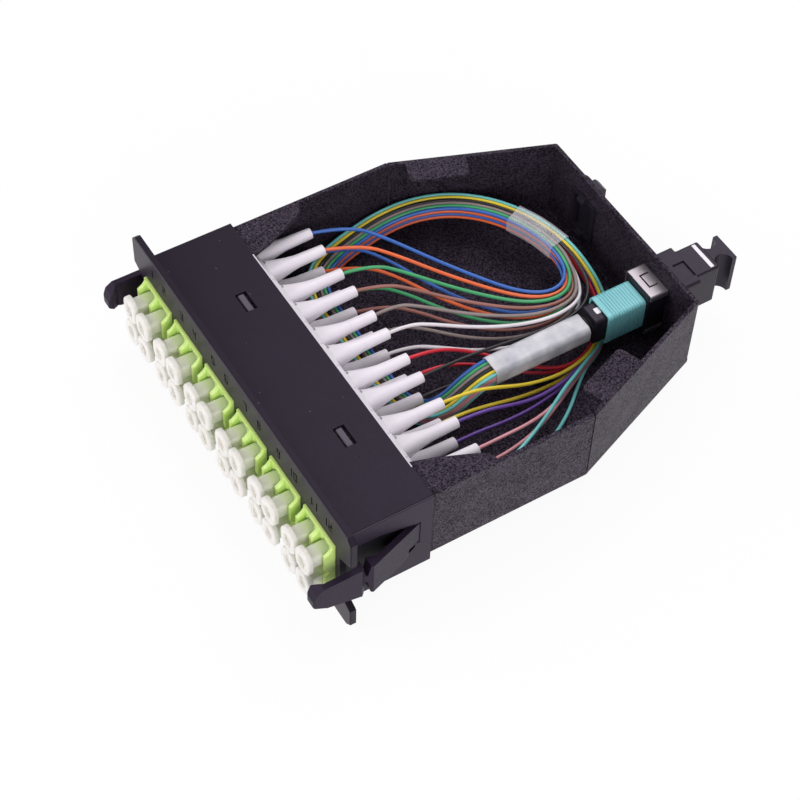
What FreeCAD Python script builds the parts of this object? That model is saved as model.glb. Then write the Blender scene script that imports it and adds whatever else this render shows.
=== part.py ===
import FreeCAD, Part
import math
import os

# Fibre cassette for patch panels, lid off.  Millimetres.
# Origin: on the outer face of the front flange, midway across the ports, level with the
# underside of the front housing.  +X runs from port 1 to port 12, +Y to the rear, +Z up.

V = FreeCAD.Vector

# ---------------------------------------------------------------- front housing
BODY_W = 91.4           # width of the moulded body
BODY_H = 24.8           # height of the moulded body
BODY_REAR = 23.4        # rear edge of the body
SIDE_WALL = 1.6         # side walls of the body
BROAD_WALL = 1.0        # top and bottom walls where the tray slides in
BROAD_STEP = 8.0        # the top and bottom walls are thicker in front of this place
BROAD_THICK = 2.0       # top and bottom walls behind the flange
FACE_W = 100.4          # flange over its ears
FACE_T = 1.6            # flange thickness
FACE_LOW = -4.0         # lower edge of the flange
FACE_HIGH = 29.6        # upper edge of the flange
FACE_CORNER = 1.5       # chamfer at the flange's outer corners
NOTCH_X = 45.0          # inner edge of the cut-out that the latch tab passes through
EAR_TOP_OUT = 20.2      # lower edge of the upper ear at its outer end
EAR_TOP_IN = 17.6       # the same at the cut-out
EAR_LOW_OUT = 2.8       # upper edge of the lower ear at its outer end
EAR_LOW_IN = 5.6        # the same at the cut-out
SLOT_X = 22.3           # hook slots in the top wall, from the middle
SLOT_Y = 14.9
SLOT_W = 5.8
SLOT_L = 2.8
NUMBER_Z = 25.1         # height of the port numbers on the flange
NUMBER_DEPTH = 0.25
FIGURE_W = 1.5
FIGURE_H = 2.8
FIGURE_STROKE = 0.42
FIGURE_STEP = 2.1       # from one figure of a number to the next

# ---------------------------------------------------------------- ports
ADAPTERS = 6
ADAPTER_PITCH = 15.0
LC_PITCH = 6.25         # two ports of one adapter, side by side
ROW_PITCH = 7.8         # upper row above lower row
PORT_Z = 11.6           # height midway between the rows
ADAPTER_W = 12.3        # adapter body behind the flange
ADAPTER_H = 17.2
ADAPTER_REAR = 22.4
COLLAR_W = 12.8         # collar that rests on the flange
COLLAR_H = 18.2
COLLAR_T = 0.6
MOUTH = 2.6             # how far the adapter stands out of the flange
FIN_T = 0.9             # side walls of the mouth
RIB_T = 1.2             # middle rib of the mouth
CROSS_RIB_H = 2.6       # rib between the upper and the lower row
CROSS_RIB_BACK = 0.4    # it ends this far behind the side walls
HOLLOW = 0.9            # depth of the hollow curve at the top and bottom of the walls
NICK_H = 2.4            # nick in the front edge of the side walls, at mid height
NICK_DEPTH = 1.3
MOUTH_H = 12.6          # height of the side walls at the mouth
BORE = 4.7              # square bore of a port
KEYWAY_W = 2.9          # slot above the bore, for the plug's latch
KEYWAY_H = 1.3
KEYWAY_DEPTH = 5.0      # how far the front keyways reach behind the collar's face
MIDDLE_Y = 10.5         # where two plugs meet inside the adapter
SLEEVE_BORE = 2.6
FIT = 0.05              # clearance per side between pieces that seat in one another

# dust cap of a port
CAP_NECK = 3.7          # square neck between the lobe and the port
CAP_SEAT_FRONT = 1.0    # the cap fills the bore from here
CAP_SEAT_END = 3.6
LOBE_W = 6.0
LOBE_H = 7.3
LOBE_T = 1.4
LOBE_ROUND = 2.9
LOBE_RECESS_W = 2.8
LOBE_RECESS_H = 3.7
LOBE_RECESS = 0.7       # depth of the recess in the lobe's face
LOBE_FRONT = 6.6        # front face of the lobe, out of the flange
CAP_PLUG_D = 3.0
CAP_PLUG_END = 7.0
CAP_BORE = 1.7

# plug and boot
PLUG_SIDE = 4.6
PLUG_END = 25.2
FERRULE_D = 1.25
LATCH_T = 0.8
BOOT_BASE = 5.6         # width of the boot where it joins the plug
BOOT_SHOULDER = 4.3     # width half way along the taper
BOOT_WAIST = 3.2        # width at the end of the taper
BOOT_TIP = 2.8
BOOT_FULL = 27.0        # the boot keeps its full width up to here
BOOT_MIDDLE = 30.8      # where its shoulder width is met
BOOT_NECK = 35.0        # end of the taper
BOOT_END = 42.3
BRIM_END = 26.7         # brim at the boot's root; the brims of a row nearly touch
BRIM_GAP = 0.1
BOOT_SLOT_W = 0.5       # small slot in the left corner of the boot's root
BOOT_SLOT_L = 1.7
BOOT_SLOT_DEPTH = 0.8

# ---------------------------------------------------------------- latches
LATCH_LOW = 6.6
LATCH_HIGH = 16.6
LATCH_ROOT_LOW = 9.8    # the flexure is lower in height than the arm
HINGE_X = BODY_W / 2 - SIDE_WALL / 2
HINGE_Y = 19.9
HINGE_R = SIDE_WALL / 2 - 0.02
HINGE_GAP = 0.12
TAB_OUT = 5.1           # outer face of the finger tab, out from the hinge
TAB_T = 1.5
TAB_FRONT = 8.9         # the tab's end, out of the flange
TOOTH_T = 1.6           # catch tooth at the tab's end
TOOTH_L = 1.2
TOOTH_SLOPE = 1.8
ELBOW_OUT = 5.3         # outermost point of the arm, out from the hinge
ELBOW_Y = 5.9
CREASE_OUT = 4.3        # bottom of the crease behind the elbow
CREASE_Y = 4.1
CREASE_W = 0.9          # half its width along the arm
ARM_IN = 2.35           # inner side of the arm at the elbow, out from the hinge
ARM_BEND_Y = 8.0
ARM_BEND_OUT = 3.0
ROOT_Y = 17.0           # the arm takes its full height in front of here
TAPER_Y = 3.3           # the tab narrows in front of here
TIP_LOW = 4.6           # height of the tab's rounded end above the latch's lower edge
TIP_HIGH = 6.6
LATCH_ROUND = 0.45
NECK_LOW = 10.4         # neck left at the crease, between two notches
NECK_HIGH = 12.8
NECK_L = 0.5
NOTCH_OPEN = 1.8        # width of the notches at the latch's edges
WINDOW_GAP = 0.45       # room between the latch and its window
WINDOW_SKIN = 0.35      # the wall keeps this skin behind the latch
WINDOW_HIGH = 19.8      # upper edge of the window at the flange
WINDOW_STEP_Y = 9.8     # places where its upper edge comes down
WINDOW_STEP_Z = 19.4
WINDOW_SLOPE_Y = 14.9
WINDOW_SLOPE_Z = 18.2
WINDOW_REAR = 19.2

# ---------------------------------------------------------------- tray
SHEET = 1.0
TRAY_W = 89.8
TRAY_LOW = BROAD_WALL + FIT
TRAY_HIGH = BODY_H - BROAD_WALL - FIT
TRAY_FRONT = BODY_REAR + 0.3
TRAY_CORNER = 66.2      # where the straight walls end
TRAY_REAR = 106.0
TRAY_REAR_W = 59.2
BEND = 0.8              # outer bend radius of the sheet
SLIT = 0.3              # open corner between two walls
SLIT_ANGLE_SIDE = 10.0
SLIT_ANGLE_REAR = 35.0
HOOK_GAP = 0.2          # ends of a hook in its slot
HOOK_L = 1.6            # length of a hook, along the body
HOOK_DROP = 0.35        # its top below the body's top face
LIP_FRONT_W = 10.2      # width of a front lip at the housing
LIP_REAR_W = 3.2        # and at its rear end
LIP_END = 41.5
TONGUE_FRONT = 11.6     # front end of the tongues inside the housing
TONGUE_X = 18.8         # inner end of the tongues
FLOOR_FRONT = 8.6
TAB_START = 4.5         # lid tab of the angled wall, from the corner along the wall
TAB_LENGTH = 15.0
TAB_DEPTH = 7.0
TAB_ROUND = 1.3

# ---------------------------------------------------------------- rear connector
MPO_X = 14.9
MPO_Z = 12.0
MPO_W = 9.3             # adapter section, standing on its narrow side
MPO_H = 12.8
MPO_IN = 99.7           # adapter face inside the tray
MPO_OUT = 114.0         # adapter face outside the tray
MPO_RIM_W = 12.6        # wider section behind the wall
MPO_RIM_END = 113.6
MPO_LEDGE_FRONT = 110.4     # shallow ledge in its top and bottom
MPO_LEDGE_W = 5.2
MPO_LEDGE_X = 1.5       # the ledge's middle, off the adapter's axis
MPO_LEDGE_DEPTH = 0.45
MPO_BORE_W = 6.8
MPO_BORE_H = 8.6
CLIP_T = 0.4
CLIP_FRONT = 99.9
CLIP_REAR = TRAY_REAR - SHEET - 0.15
CLIP_CUT = 0.4          # cut round the clip's tongue
CLIP_TONGUE_W = 3.6
CLIP_TONGUE_FRONT = 1.5     # from the clip's front edge
CLIP_TONGUE_L = 2.7
CLIP_SIDE = 1.2         # what is left of the open side at top and bottom
SLEEVE_W = 8.2          # coupling sleeve of the plug
SLEEVE_H = 9.6
SLEEVE_FRONT = 88.9
SLEEVE_REAR = 99.5
SLEEVE_TRAVEL = 1.2     # the sleeve pulls back to release the plug
CORE_W = 6.4            # inner housing of the plug
CORE_H = 8.2
CORE_FRONT = 86.0
CORE_REAR = 109.0
SLIDE_GAP = 0.3
GROOVE_PITCH = 0.75     # grooves round the coupling sleeve
GROOVE_W = 0.32
GROOVE_DEPTH = 0.16
GROOVE_MARGIN = 1.3     # plain ring at the sleeve's front
GROOVES = 11
CORE_ROUND = 1.0
COLLAR_M_T = 1.4        # collar at the plug's front
BOOT_M_FRONT = 83.6
BOOT_M_D = 4.4
RING_D = 5.8            # rings of the strain relief
RING_T = 0.4
RING_PITCH = 0.75
RING_START = 1.1
MCAP_REAR = 120.4
MCAP_GRIP = 126.0
MCAP_LOWER = 0.1        # the cap's head is lower than the adapter by this on each side
GRIP_W = 8.0            # plate at the grip's end
GRIP_T = 1.2
GRIP_ROOT_W = 7.2
GRIP_WAIST_W = 2.6
GRIP_WAIST_Y = 2.6      # from the head's rear face
GRIP_LOWER = 0.6
BLANK_X = -MPO_X
BLANK_W = 11.0          # head of the blank, outside the wall
BLANK_H = 20.6
BLANK_T = 1.7
BLANK_ROUND = 3.2
BLANK_EDGE = 0.8        # rounding of the head's outer edge
KNOB_W = 3.8            # upright grip on the head
KNOB_H = 18.4
KNOB_T = 2.2
BLANK_WALL = 1.2
LEG_W = 2.4             # snap legs inside the wall
LEG_T = 1.1
LEG_L = 1.7
BARB_L = 0.9
BARB_OUT = 0.6

# label tube and the fan-out body inside it
TUBE_FRONT = 58.4
TUBE_REAR = 84.6
TUBE_W = 6.4
TUBE_H = 5.1
TUBE_WALL = 0.25
TUBE_ROUND = 1.45
FANOUT_FRONT = 60.4

# ---------------------------------------------------------------- fibres
FIBRE_D = 0.9
LANE = 0.95             # spacing of the fibres where they run together
LAYERS = 4              # the bundle is four fibres high and six wide
FILM_WALL = 0.2         # clear sleeve over the bundle at the far end of its round
FILM_GAP = 0.15
FILM_RUNS = 2           # it covers the last runs of the bundle
FILM_START = 1.2        # ends of the sleeve, in from the ends of those runs
FILM_END = 0.8

# Middle of the bundle: out of the fan-out, down to the floor, left under the boots, round
# the left wall and up into the sleeve.
BUNDLE = [(14.9, 60.4, 12.0), (14.9, 56.6, 12.0), (14.9, 52.0, 9.6), (14.7, 47.2, 5.9),
          (13.1, 42.4, 4.1), (8.6, 38.9, 3.95), (2.6, 38.2, 3.95), (-7.0, 38.2, 3.95),
          (-17.0, 38.35, 3.95), (-26.0, 38.3, 3.95), (-32.6, 39.4, 4.0), (-37.2, 43.0, 4.3),
          (-39.3, 48.4, 5.3), (-39.9, 55.0, 7.2), (-39.8, 62.5, 9.4), (-38.4, 70.5, 10.9),
          (-35.2, 78.2, 11.5), (-30.4, 84.6, 11.5), (-24.2, 89.4, 11.5), (-16.6, 92.8, 11.5),
          (-8.6, 94.4, 11.5)]
# Loops from the sleeve back to ports 1 to 6, innermost and outermost, in each row.
UPPER_INNER = [(-3.8, 91.7, 11.8), (0.0, 89.6, 12.0), (2.0, 85.8, 12.3), (1.2, 81.2, 12.6),
               (-3.0, 75.8, 13.1), (-11.0, 69.8, 13.8), (-20.0, 63.8, 14.5),
               (-30.4, 57.6, 15.1), (-38.0, 51.8, 15.5)]
UPPER_OUTER = [(-2.6, 93.7, 11.7), (2.8, 92.0, 11.9), (7.2, 89.0, 12.2), (9.0, 82.8, 12.6),
               (8.6, 75.4, 13.1), (6.2, 67.6, 13.6), (2.6, 60.0, 14.3), (-1.8, 53.0, 15.0),
               (-4.2, 48.0, 15.5)]
LOWER_INNER = [(-3.4, 91.3, 9.9), (0.8, 89.2, 8.9), (3.6, 85.4, 8.4), (3.0, 79.6, 8.2),
               (-0.6, 73.2, 8.4), (-7.6, 67.0, 8.9), (-17.0, 61.4, 9.6), (-28.0, 56.6, 10.4),
               (-36.6, 51.2, 9.9)]
LOWER_OUTER = [(-2.4, 93.7, 9.7), (3.6, 92.0, 8.5), (7.6, 88.2, 7.8), (9.2, 82.0, 7.2),
               (9.2, 74.6, 6.9), (7.4, 67.0, 6.9), (4.0, 60.0, 7.1), (-0.6, 53.6, 7.5),
               (-3.8, 48.2, 7.7)]
# Port 8 upper keeps to the left of the label tube.
PORT_8_LOOP = [(-2.2, 94.9, 12.3), (4.4, 93.6, 11.9), (8.4, 90.0, 11.0), (10.2, 84.0, 10.9),
               (10.6, 76.8, 11.4), (10.4, 69.0, 12.6), (10.3, 61.6, 13.8), (10.4, 54.6, 14.9),
               (10.6, 48.4, 15.5)]
# The other fibres of ports 7 to 12 dive under the rear connector together, then part.
TRUNK = [(-2.8, 96.4, 10.2), (3.0, 97.0, 7.2), (8.4, 95.8, 4.9), (13.0, 92.4, 4.1),
         (16.6, 87.8, 4.1), (18.9, 82.4, 4.1)]
TAILS = {
    ("upper", 7): [(18.4, 76.4, 5.6), (15.8, 70.6, 6.8), (11.6, 65.6, 7.9), (7.6, 60.6, 9.6),
                   (5.2, 54.6, 12.2), (4.5, 48.4, 14.8)],
    ("lower", 7): [(18.2, 76.6, 4.0), (15.6, 70.4, 4.3), (11.6, 65.4, 4.8), (7.6, 60.2, 5.6),
                   (5.2, 54.4, 6.8), (4.4, 48.2, 7.7)],
    ("lower", 8): [(19.2, 76.2, 2.95), (17.8, 70.0, 3.2), (15.2, 64.4, 3.9), (12.4, 58.6, 5.2),
                   (10.9, 53.0, 6.8), (10.6, 47.6, 7.7)],
    ("upper", 9): [(20.4, 76.4, 6.4), (21.0, 70.0, 8.0), (21.0, 63.4, 10.2), (20.2, 56.6, 13.0),
                   (19.5, 49.6, 15.2)],
    ("lower", 9): [(20.5, 76.2, 4.1), (21.0, 69.4, 4.8), (20.8, 62.0, 5.8), (20.0, 54.8, 7.1),
                   (19.4, 48.2, 7.7)],
    ("upper", 10): [(21.9, 76.4, 5.7), (24.0, 70.2, 7.6), (25.6, 63.6, 9.9),
                    (26.2, 56.8, 12.8), (25.8, 49.8, 15.2)],
    ("lower", 10): [(21.8, 76.0, 3.1), (23.6, 69.4, 4.2), (25.2, 62.2, 5.6), (26.0, 55.0, 7.1),
                    (25.7, 48.4, 7.7)],
    ("upper", 11): [(23.0, 76.6, 5.8), (26.8, 71.0, 7.8), (30.2, 64.8, 10.2),
                    (32.8, 57.8, 13.0), (34.2, 50.2, 15.2)],
    ("lower", 11): [(23.1, 76.4, 3.9), (26.6, 70.2, 4.8), (30.2, 63.6, 5.8), (33.0, 56.2, 7.1),
                    (34.3, 48.8, 7.7)],
    ("upper", 12): [(23.2, 77.2, 7.6), (26.4, 72.0, 10.0), (30.4, 66.2, 12.2),
                    (34.6, 59.8, 14.2), (38.2, 53.2, 15.4), (40.4, 47.6, 15.5)],
    ("lower", 12): [(24.2, 77.4, 3.1), (28.8, 72.4, 4.4), (33.0, 66.6, 5.8), (36.8, 60.2, 7.1),
                    (39.6, 53.6, 7.7), (40.6, 47.8, 7.7)],
}
# Layer of the bundle, counted from below, that a port's fibre keeps to.
LAYER = {"upper": (3, 2, 3, 2, 3, 2, 2, 3, 3, 2, 2, 3), "lower": (1, 0) * 6}
SETTLE = (1.0, 0.8, 0.5, 0.2)   # how the loops leave their layers behind

LEFT, RIGHT = -1, 1


# ---------------------------------------------------------------- helpers
def box(x0, x1, y0, y1, z0, z1):
    """A block between two corners."""
    return Part.makeBox(x1 - x0, y1 - y0, z1 - z0, V(x0, y0, z0))


def block(cx, w, y0, y1, cz, h):
    """A block centred on cx and cz, from y0 to y1."""
    return box(cx - w / 2, cx + w / 2, y0, y1, cz - h / 2, cz + h / 2)


def face_of(points):
    """A flat face with straight edges through the points."""
    return Part.Face(Part.makePolygon(points + [points[0]]))


def plate_xz(outline, y0, y1):
    """An outline of (x, z) points, extruded along Y."""
    return face_of([V(x, y0, z) for x, z in outline]).extrude(V(0, y1 - y0, 0))


def plate_yz(outline, x0, x1):
    """An outline of (y, z) points, extruded along X."""
    return face_of([V(x0, y, z) for y, z in outline]).extrude(V(x1 - x0, 0, 0))


def plate_xy(outline, z0, z1):
    """An outline of (x, y) points, extruded along Z."""
    return face_of([V(x, y, z0) for x, y in outline]).extrude(V(0, 0, z1 - z0))


def rod(r, start, axis, length):
    """A cylinder."""
    return Part.makeCylinder(r, length, start, axis)


def rounded_wire(cx, cz, w, h, r, y):
    """A rectangle with round corners, in the plane of constant y."""
    x0, x1, z0, z1 = cx - w / 2, cx + w / 2, cz - h / 2, cz + h / 2
    k = r * (1 - math.sqrt(0.5))
    edges = []
    corners = [(x1 - r, z0, x1 - k, z0 + k, x1, z0 + r), (x1, z1 - r, x1 - k, z1 - k, x1 - r, z1),
               (x0 + r, z1, x0 + k, z1 - k, x0, z1 - r), (x0, z0 + r, x0 + k, z0 + k, x0 + r, z0)]
    for i, (ax, az, mx, mz, bx, bz) in enumerate(corners):
        edges.append(Part.Arc(V(ax, y, az), V(mx, y, mz), V(bx, y, bz)).toShape())
        nx, nz = corners[(i + 1) % 4][:2]
        if math.hypot(nx - bx, nz - bz) > 1e-6:
            edges.append(Part.LineSegment(V(bx, y, bz), V(nx, y, nz)).toShape())
    return Part.Wire(edges)


def rounded_bar(cx, cz, w, h, r, y0, y1):
    """A bar along Y with round corners."""
    return Part.Face(rounded_wire(cx, cz, w, h, r, y0)).extrude(V(0, y1 - y0, 0))


def fillet(shape, r, wanted):
    """Round the edges for which wanted(edge) is true."""
    return shape.makeFillet(r, [e for e in shape.Edges if wanted(e)])


def runs_along(edge, axis):
    """True when a straight edge runs along the axis."""
    if len(edge.Vertexes) != 2:
        return False
    d = edge.Vertexes[1].Point - edge.Vertexes[0].Point
    return d.Length > 1e-6 and d.cross(axis).Length < 1e-6 * d.Length


def mirrored(shape):
    """The same piece for the other side of the cassette."""
    return shape.mirror(V(0, 0, 0), V(1, 0, 0))


def union(shapes):
    """One solid out of touching shapes."""
    first, rest = shapes[0], shapes[1:]
    return first.fuse(rest).removeSplitter() if rest else first


def adapter_x(i):
    """Middle of adapter i, counted from 0 at port 1."""
    return (i - (ADAPTERS - 1) / 2) * ADAPTER_PITCH


def port_x(column):
    """Middle of a column of ports, counted from 0 at port 1."""
    side = LEFT if column % 2 == 0 else RIGHT
    return adapter_x(column // 2) + side * LC_PITCH / 2


def row_z(row):
    """Height of the upper row (+1) or the lower row (-1)."""
    return PORT_Z + row * ROW_PITCH / 2


ROWS = (1, -1)


# ---------------------------------------------------------------- front housing
def number_strokes(text):
    """Strokes of a stencil figure, as boxes (x0, x1, z0, z1)."""
    w, h, t = FIGURE_W, FIGURE_H, FIGURE_STROKE
    bars = {"a": (0, w, h - t, h), "g": (0, w, h / 2 - t / 2, h / 2 + t / 2), "d": (0, w, 0, t),
            "f": (0, t, h / 2, h), "b": (w - t, w, h / 2, h), "e": (0, t, 0, h / 2),
            "c": (w - t, w, 0, h / 2)}
    figures = {"0": "abcdef", "1": "bc", "2": "abged", "3": "abgcd", "4": "fgbc", "5": "afgcd",
               "6": "afgecd", "7": "abc", "8": "abcdefg", "9": "abcdfg"}
    start = -(FIGURE_STEP * (len(text) - 1) + w) / 2
    return [(start + i * FIGURE_STEP + x0, start + i * FIGURE_STEP + x1, z0 - h / 2, z1 - h / 2)
            for i, char in enumerate(text) for x0, x1, z0, z1 in (bars[b] for b in figures[char])]


def face_outline():
    """Outline of the flange as (x, z), with its four ears."""
    x, c = FACE_W / 2, FACE_CORNER
    half = [(x - c, FACE_HIGH), (x, FACE_HIGH - c), (x, EAR_TOP_OUT), (NOTCH_X, EAR_TOP_IN),
            (NOTCH_X, EAR_LOW_IN), (x, EAR_LOW_OUT), (x, FACE_LOW + c), (x - c, FACE_LOW)]
    return half + [(-px, pz) for px, pz in reversed(half)]


def latch_window():
    """Opening of the right side wall that the latch swings in."""
    g = WINDOW_GAP
    low = LATCH_LOW - g
    outline = [(FACE_T, low), (ROOT_Y, low), (WINDOW_REAR, low + WINDOW_REAR - ROOT_Y),
               (WINDOW_REAR, LATCH_HIGH + g), (WINDOW_SLOPE_Y, WINDOW_SLOPE_Z),
               (WINDOW_STEP_Y, WINDOW_STEP_Z), (FACE_T, WINDOW_HIGH)]
    hole = plate_yz(outline, BODY_W / 2 - SIDE_WALL + WINDOW_SKIN, BODY_W / 2 + 1)
    pocket = box(BODY_W / 2 - SIDE_WALL - 1, BODY_W / 2 + 1, ROOT_Y, HINGE_Y,
                 LATCH_ROOT_LOW - g, LATCH_HIGH + g)
    seat = rod(HINGE_R + HINGE_GAP, V(HINGE_X, HINGE_Y, LATCH_ROOT_LOW - g), V(0, 0, 1),
               LATCH_HIGH - LATCH_ROOT_LOW + 2 * g)
    return union([hole, pocket, seat])


def front_housing():
    """The moulded body with its flange, port openings, hook slots and latch windows."""
    half = BODY_W / 2
    body = box(-half, half, 0, BODY_REAR, 0, BODY_H)
    body = fillet(body, 0.5, lambda e: runs_along(e, V(0, 1, 0)))
    inner = half - SIDE_WALL
    body = body.cut([box(-inner, inner, BROAD_STEP, BODY_REAR + 1, BROAD_WALL, BODY_H - BROAD_WALL),
                     box(-inner, inner, FACE_T + 1.2, BROAD_STEP + 1, BROAD_THICK,
                         BODY_H - BROAD_THICK)])
    flange = plate_xz(face_outline(), 0, FACE_T)
    flange = fillet(flange, 0.35, lambda e: all(abs(v.Y) < 1e-6 for v in e.Vertexes))
    solid = union([flange, body])
    cuts = []
    for i in range(ADAPTERS):
        cuts.append(block(adapter_x(i), ADAPTER_W + 2 * FIT, -1, FACE_T + 2, PORT_Z,
                          ADAPTER_H + 2 * FIT))
    for side in (LEFT, RIGHT):
        cuts.append(box(side * SLOT_X - SLOT_W / 2, side * SLOT_X + SLOT_W / 2, SLOT_Y - SLOT_L / 2,
                        SLOT_Y + SLOT_L / 2, BODY_H - 2 * BROAD_THICK, BODY_H + 1))
    window = latch_window()
    cuts += [window, mirrored(window)]
    for column in range(2 * ADAPTERS):
        for x0, x1, z0, z1 in number_strokes(str(column + 1)):
            cuts.append(box(port_x(column) + x0, port_x(column) + x1, -1, NUMBER_DEPTH,
                            NUMBER_Z + z0, NUMBER_Z + z1))
    return solid.cut(cuts)


# ---------------------------------------------------------------- latches
def latch():
    """Right latch: flexure root, splayed arm, catch tooth and finger tab."""
    tab_out = HINGE_X + TAB_OUT
    tab_in, tip = tab_out - TAB_T, -TAB_FRONT
    outer = [(HINGE_X + HINGE_R, HINGE_Y), (HINGE_X + ELBOW_OUT, ELBOW_Y),
             (HINGE_X + CREASE_OUT + 0.4, CREASE_Y + CREASE_W), (HINGE_X + CREASE_OUT, CREASE_Y),
             (tab_out, CREASE_Y - CREASE_W), (tab_out, tip)]
    inner = [(tab_in - TOOTH_T, tip), (tab_in - TOOTH_T, tip + TOOTH_L),
             (tab_in, tip + TOOTH_L + TOOTH_SLOPE), (tab_in, TAPER_Y - 0.8),
             (HINGE_X + ARM_IN, TAPER_Y + 0.5), (HINGE_X + ARM_IN, ELBOW_Y),
             (HINGE_X + ARM_BEND_OUT, ARM_BEND_Y), (HINGE_X - HINGE_R, HINGE_Y)]
    room = TAB_OUT + ELBOW_OUT
    plan = plate_xy(outer + inner, LATCH_LOW - 1, LATCH_HIGH + 1)
    bevel = LATCH_HIGH - LATCH_LOW - TIP_HIGH
    profile = [(HINGE_Y + HINGE_R, LATCH_ROOT_LOW), (ROOT_Y, LATCH_ROOT_LOW),
               (ROOT_Y, LATCH_LOW + SLIDE_GAP), (ROOT_Y - bevel, LATCH_LOW), (TAPER_Y, LATCH_LOW),
               (tip + bevel, LATCH_LOW + TIP_LOW / 2), (tip, LATCH_LOW + TIP_LOW),
               (tip, LATCH_LOW + TIP_HIGH), (tip + bevel / 4, LATCH_HIGH - bevel / 3),
               (tip + bevel * 3 / 4, LATCH_HIGH), (HINGE_Y + HINGE_R, LATCH_HIGH)]
    arm = plan.common(plate_yz(profile, HINGE_X - room, HINGE_X + room))
    arm = fillet(arm, LATCH_ROUND, lambda e: runs_along(e, V(0, 0, 1)) and
                 abs(e.Vertexes[0].Y - tip) < 1e-6)
    y, near, far = CREASE_Y + NECK_L, NECK_L / 2, NOTCH_OPEN / 2
    notches = [plate_yz([(y - near, neck), (y + near, neck), (y + far, edge), (y - far, edge)],
                        HINGE_X - room, HINGE_X + room)
               for neck, edge in ((NECK_HIGH, LATCH_HIGH + 0.5), (NECK_LOW, LATCH_LOW - 0.5))]
    root = rod(HINGE_R, V(HINGE_X, HINGE_Y, LATCH_ROOT_LOW), V(0, 0, 1),
               LATCH_HIGH - LATCH_ROOT_LOW)
    return union([arm.cut(notches), root])


# ---------------------------------------------------------------- tray
def tray_outline():
    """Outside of the tray as (x, y), from the right front corner round to the left."""
    w, r = TRAY_W / 2, TRAY_REAR_W / 2
    right = [(w, TRAY_FRONT), (w, TRAY_CORNER), (r, TRAY_REAR)]
    return right + [(-x, y) for x, y in reversed(right)]


def wall_frame(side):
    """Corner, direction and inward normal of the angled wall on one side."""
    start = V(side * TRAY_W / 2, TRAY_CORNER, 0)
    along = V(side * TRAY_REAR_W / 2, TRAY_REAR, 0) - start
    along.normalize()
    return start, along, V(-side * along.y, side * along.x, 0)


def lid_tab(side):
    """Rectangular tab folded in from the angled wall, where the lid rests."""
    start, along, inward = wall_frame(side)
    a = start + along * TAB_START
    b = a + along * TAB_LENGTH
    corners = [a, b, b + inward * TAB_DEPTH, a + inward * TAB_DEPTH]
    tab = plate_xy([(p.x, p.y) for p in corners], TRAY_HIGH - SHEET, TRAY_HIGH)
    tips = corners[2:]
    return fillet(tab, TAB_ROUND, lambda e: runs_along(e, V(0, 0, 1)) and min(
        math.hypot(e.Vertexes[0].X - t.x, e.Vertexes[0].Y - t.y) for t in tips) < 0.01)


def front_lip():
    """Right front lip: hidden tongue under the housing, then a strip that narrows."""
    w = TRAY_W / 2
    inner = BODY_W / 2 - SIDE_WALL - 0.25
    outline = [(inner, TONGUE_FRONT), (inner, TRAY_FRONT), (w, TRAY_FRONT), (w, LIP_END),
               (w - LIP_REAR_W, LIP_END - 1.2), (w - LIP_REAR_W - 1.6, 37.8),
               (w - LIP_FRONT_W + 1.6, 28.8), (w - LIP_FRONT_W, TRAY_FRONT),
               (TONGUE_X, BODY_REAR - 3), (TONGUE_X, TONGUE_FRONT)]
    lip = plate_xy(outline, TRAY_HIGH - SHEET, TRAY_HIGH)
    hook = box(SLOT_X - SLOT_W / 2 + HOOK_GAP, SLOT_X + SLOT_W / 2 - HOOK_GAP,
               SLOT_Y - HOOK_L / 2, SLOT_Y + HOOK_L / 2, TRAY_HIGH - SHEET / 2, BODY_H - HOOK_DROP)
    hook = fillet(hook, HOOK_DROP, lambda e: runs_along(e, V(1, 0, 0)) and
                  e.Vertexes[0].Z > BODY_H - HOOK_DROP - 1e-6)
    return union([lip, hook])


def rear_port(x):
    """Opening of the rear wall for an MPO adapter."""
    return block(x, MPO_W + 2 * FIT, TRAY_REAR - SHEET - 3, TRAY_REAR + 3, MPO_Z, MPO_H + 2 * FIT)


def tray():
    """The folded sheet-metal tray: floor, five walls, lips, lid tabs and tongues."""
    outline = tray_outline()
    outside = plate_xy(outline, TRAY_LOW, TRAY_HIGH)
    outside = fillet(outside, BEND, lambda e: all(abs(v.Z - TRAY_LOW) < 1e-6 for v in e.Vertexes)
                     and min(v.Y for v in e.Vertexes) > TRAY_FRONT - 1 and
                     not all(abs(v.Y - TRAY_FRONT) < 1e-6 for v in e.Vertexes))
    ring = Part.makePolygon([V(x, y, TRAY_LOW + SHEET) for x, y in outline + outline[:1]])
    hollow = Part.Face(ring.makeOffset2D(-SHEET)).extrude(V(0, 0, TRAY_HIGH))
    front = box(-TRAY_W / 2 + SHEET, TRAY_W / 2 - SHEET, TRAY_FRONT - 1, TRAY_FRONT + 5,
                TRAY_LOW + SHEET, TRAY_HIGH + 1)
    shell = outside.cut([hollow, front])
    inner = BODY_W / 2 - SIDE_WALL - 0.4
    floor = box(-inner, inner, FLOOR_FRONT, TRAY_FRONT + 1, TRAY_LOW, TRAY_LOW + SHEET)
    lip = front_lip()
    shell = union([shell, floor, lip, mirrored(lip), lid_tab(LEFT), lid_tab(RIGHT)])
    cuts = [rear_port(MPO_X), rear_port(BLANK_X)]
    for side in (LEFT, RIGHT):
        for x, y in outline[1:3] if side == RIGHT else outline[3:5]:
            slit = box(-SLIT / 2, SLIT / 2, -2 * SHEET, 2 * SHEET, TRAY_LOW + SHEET + BEND,
                       TRAY_HIGH + 1)
            angle = SLIT_ANGLE_SIDE if y < TRAY_REAR - 1 else SLIT_ANGLE_REAR
            slit.rotate(V(0, 0, 0), V(0, 0, 1), 90 - side * angle)
            slit.translate(V(x, y, 0))
            cuts.append(slit)
    return shell.cut(cuts)


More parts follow.
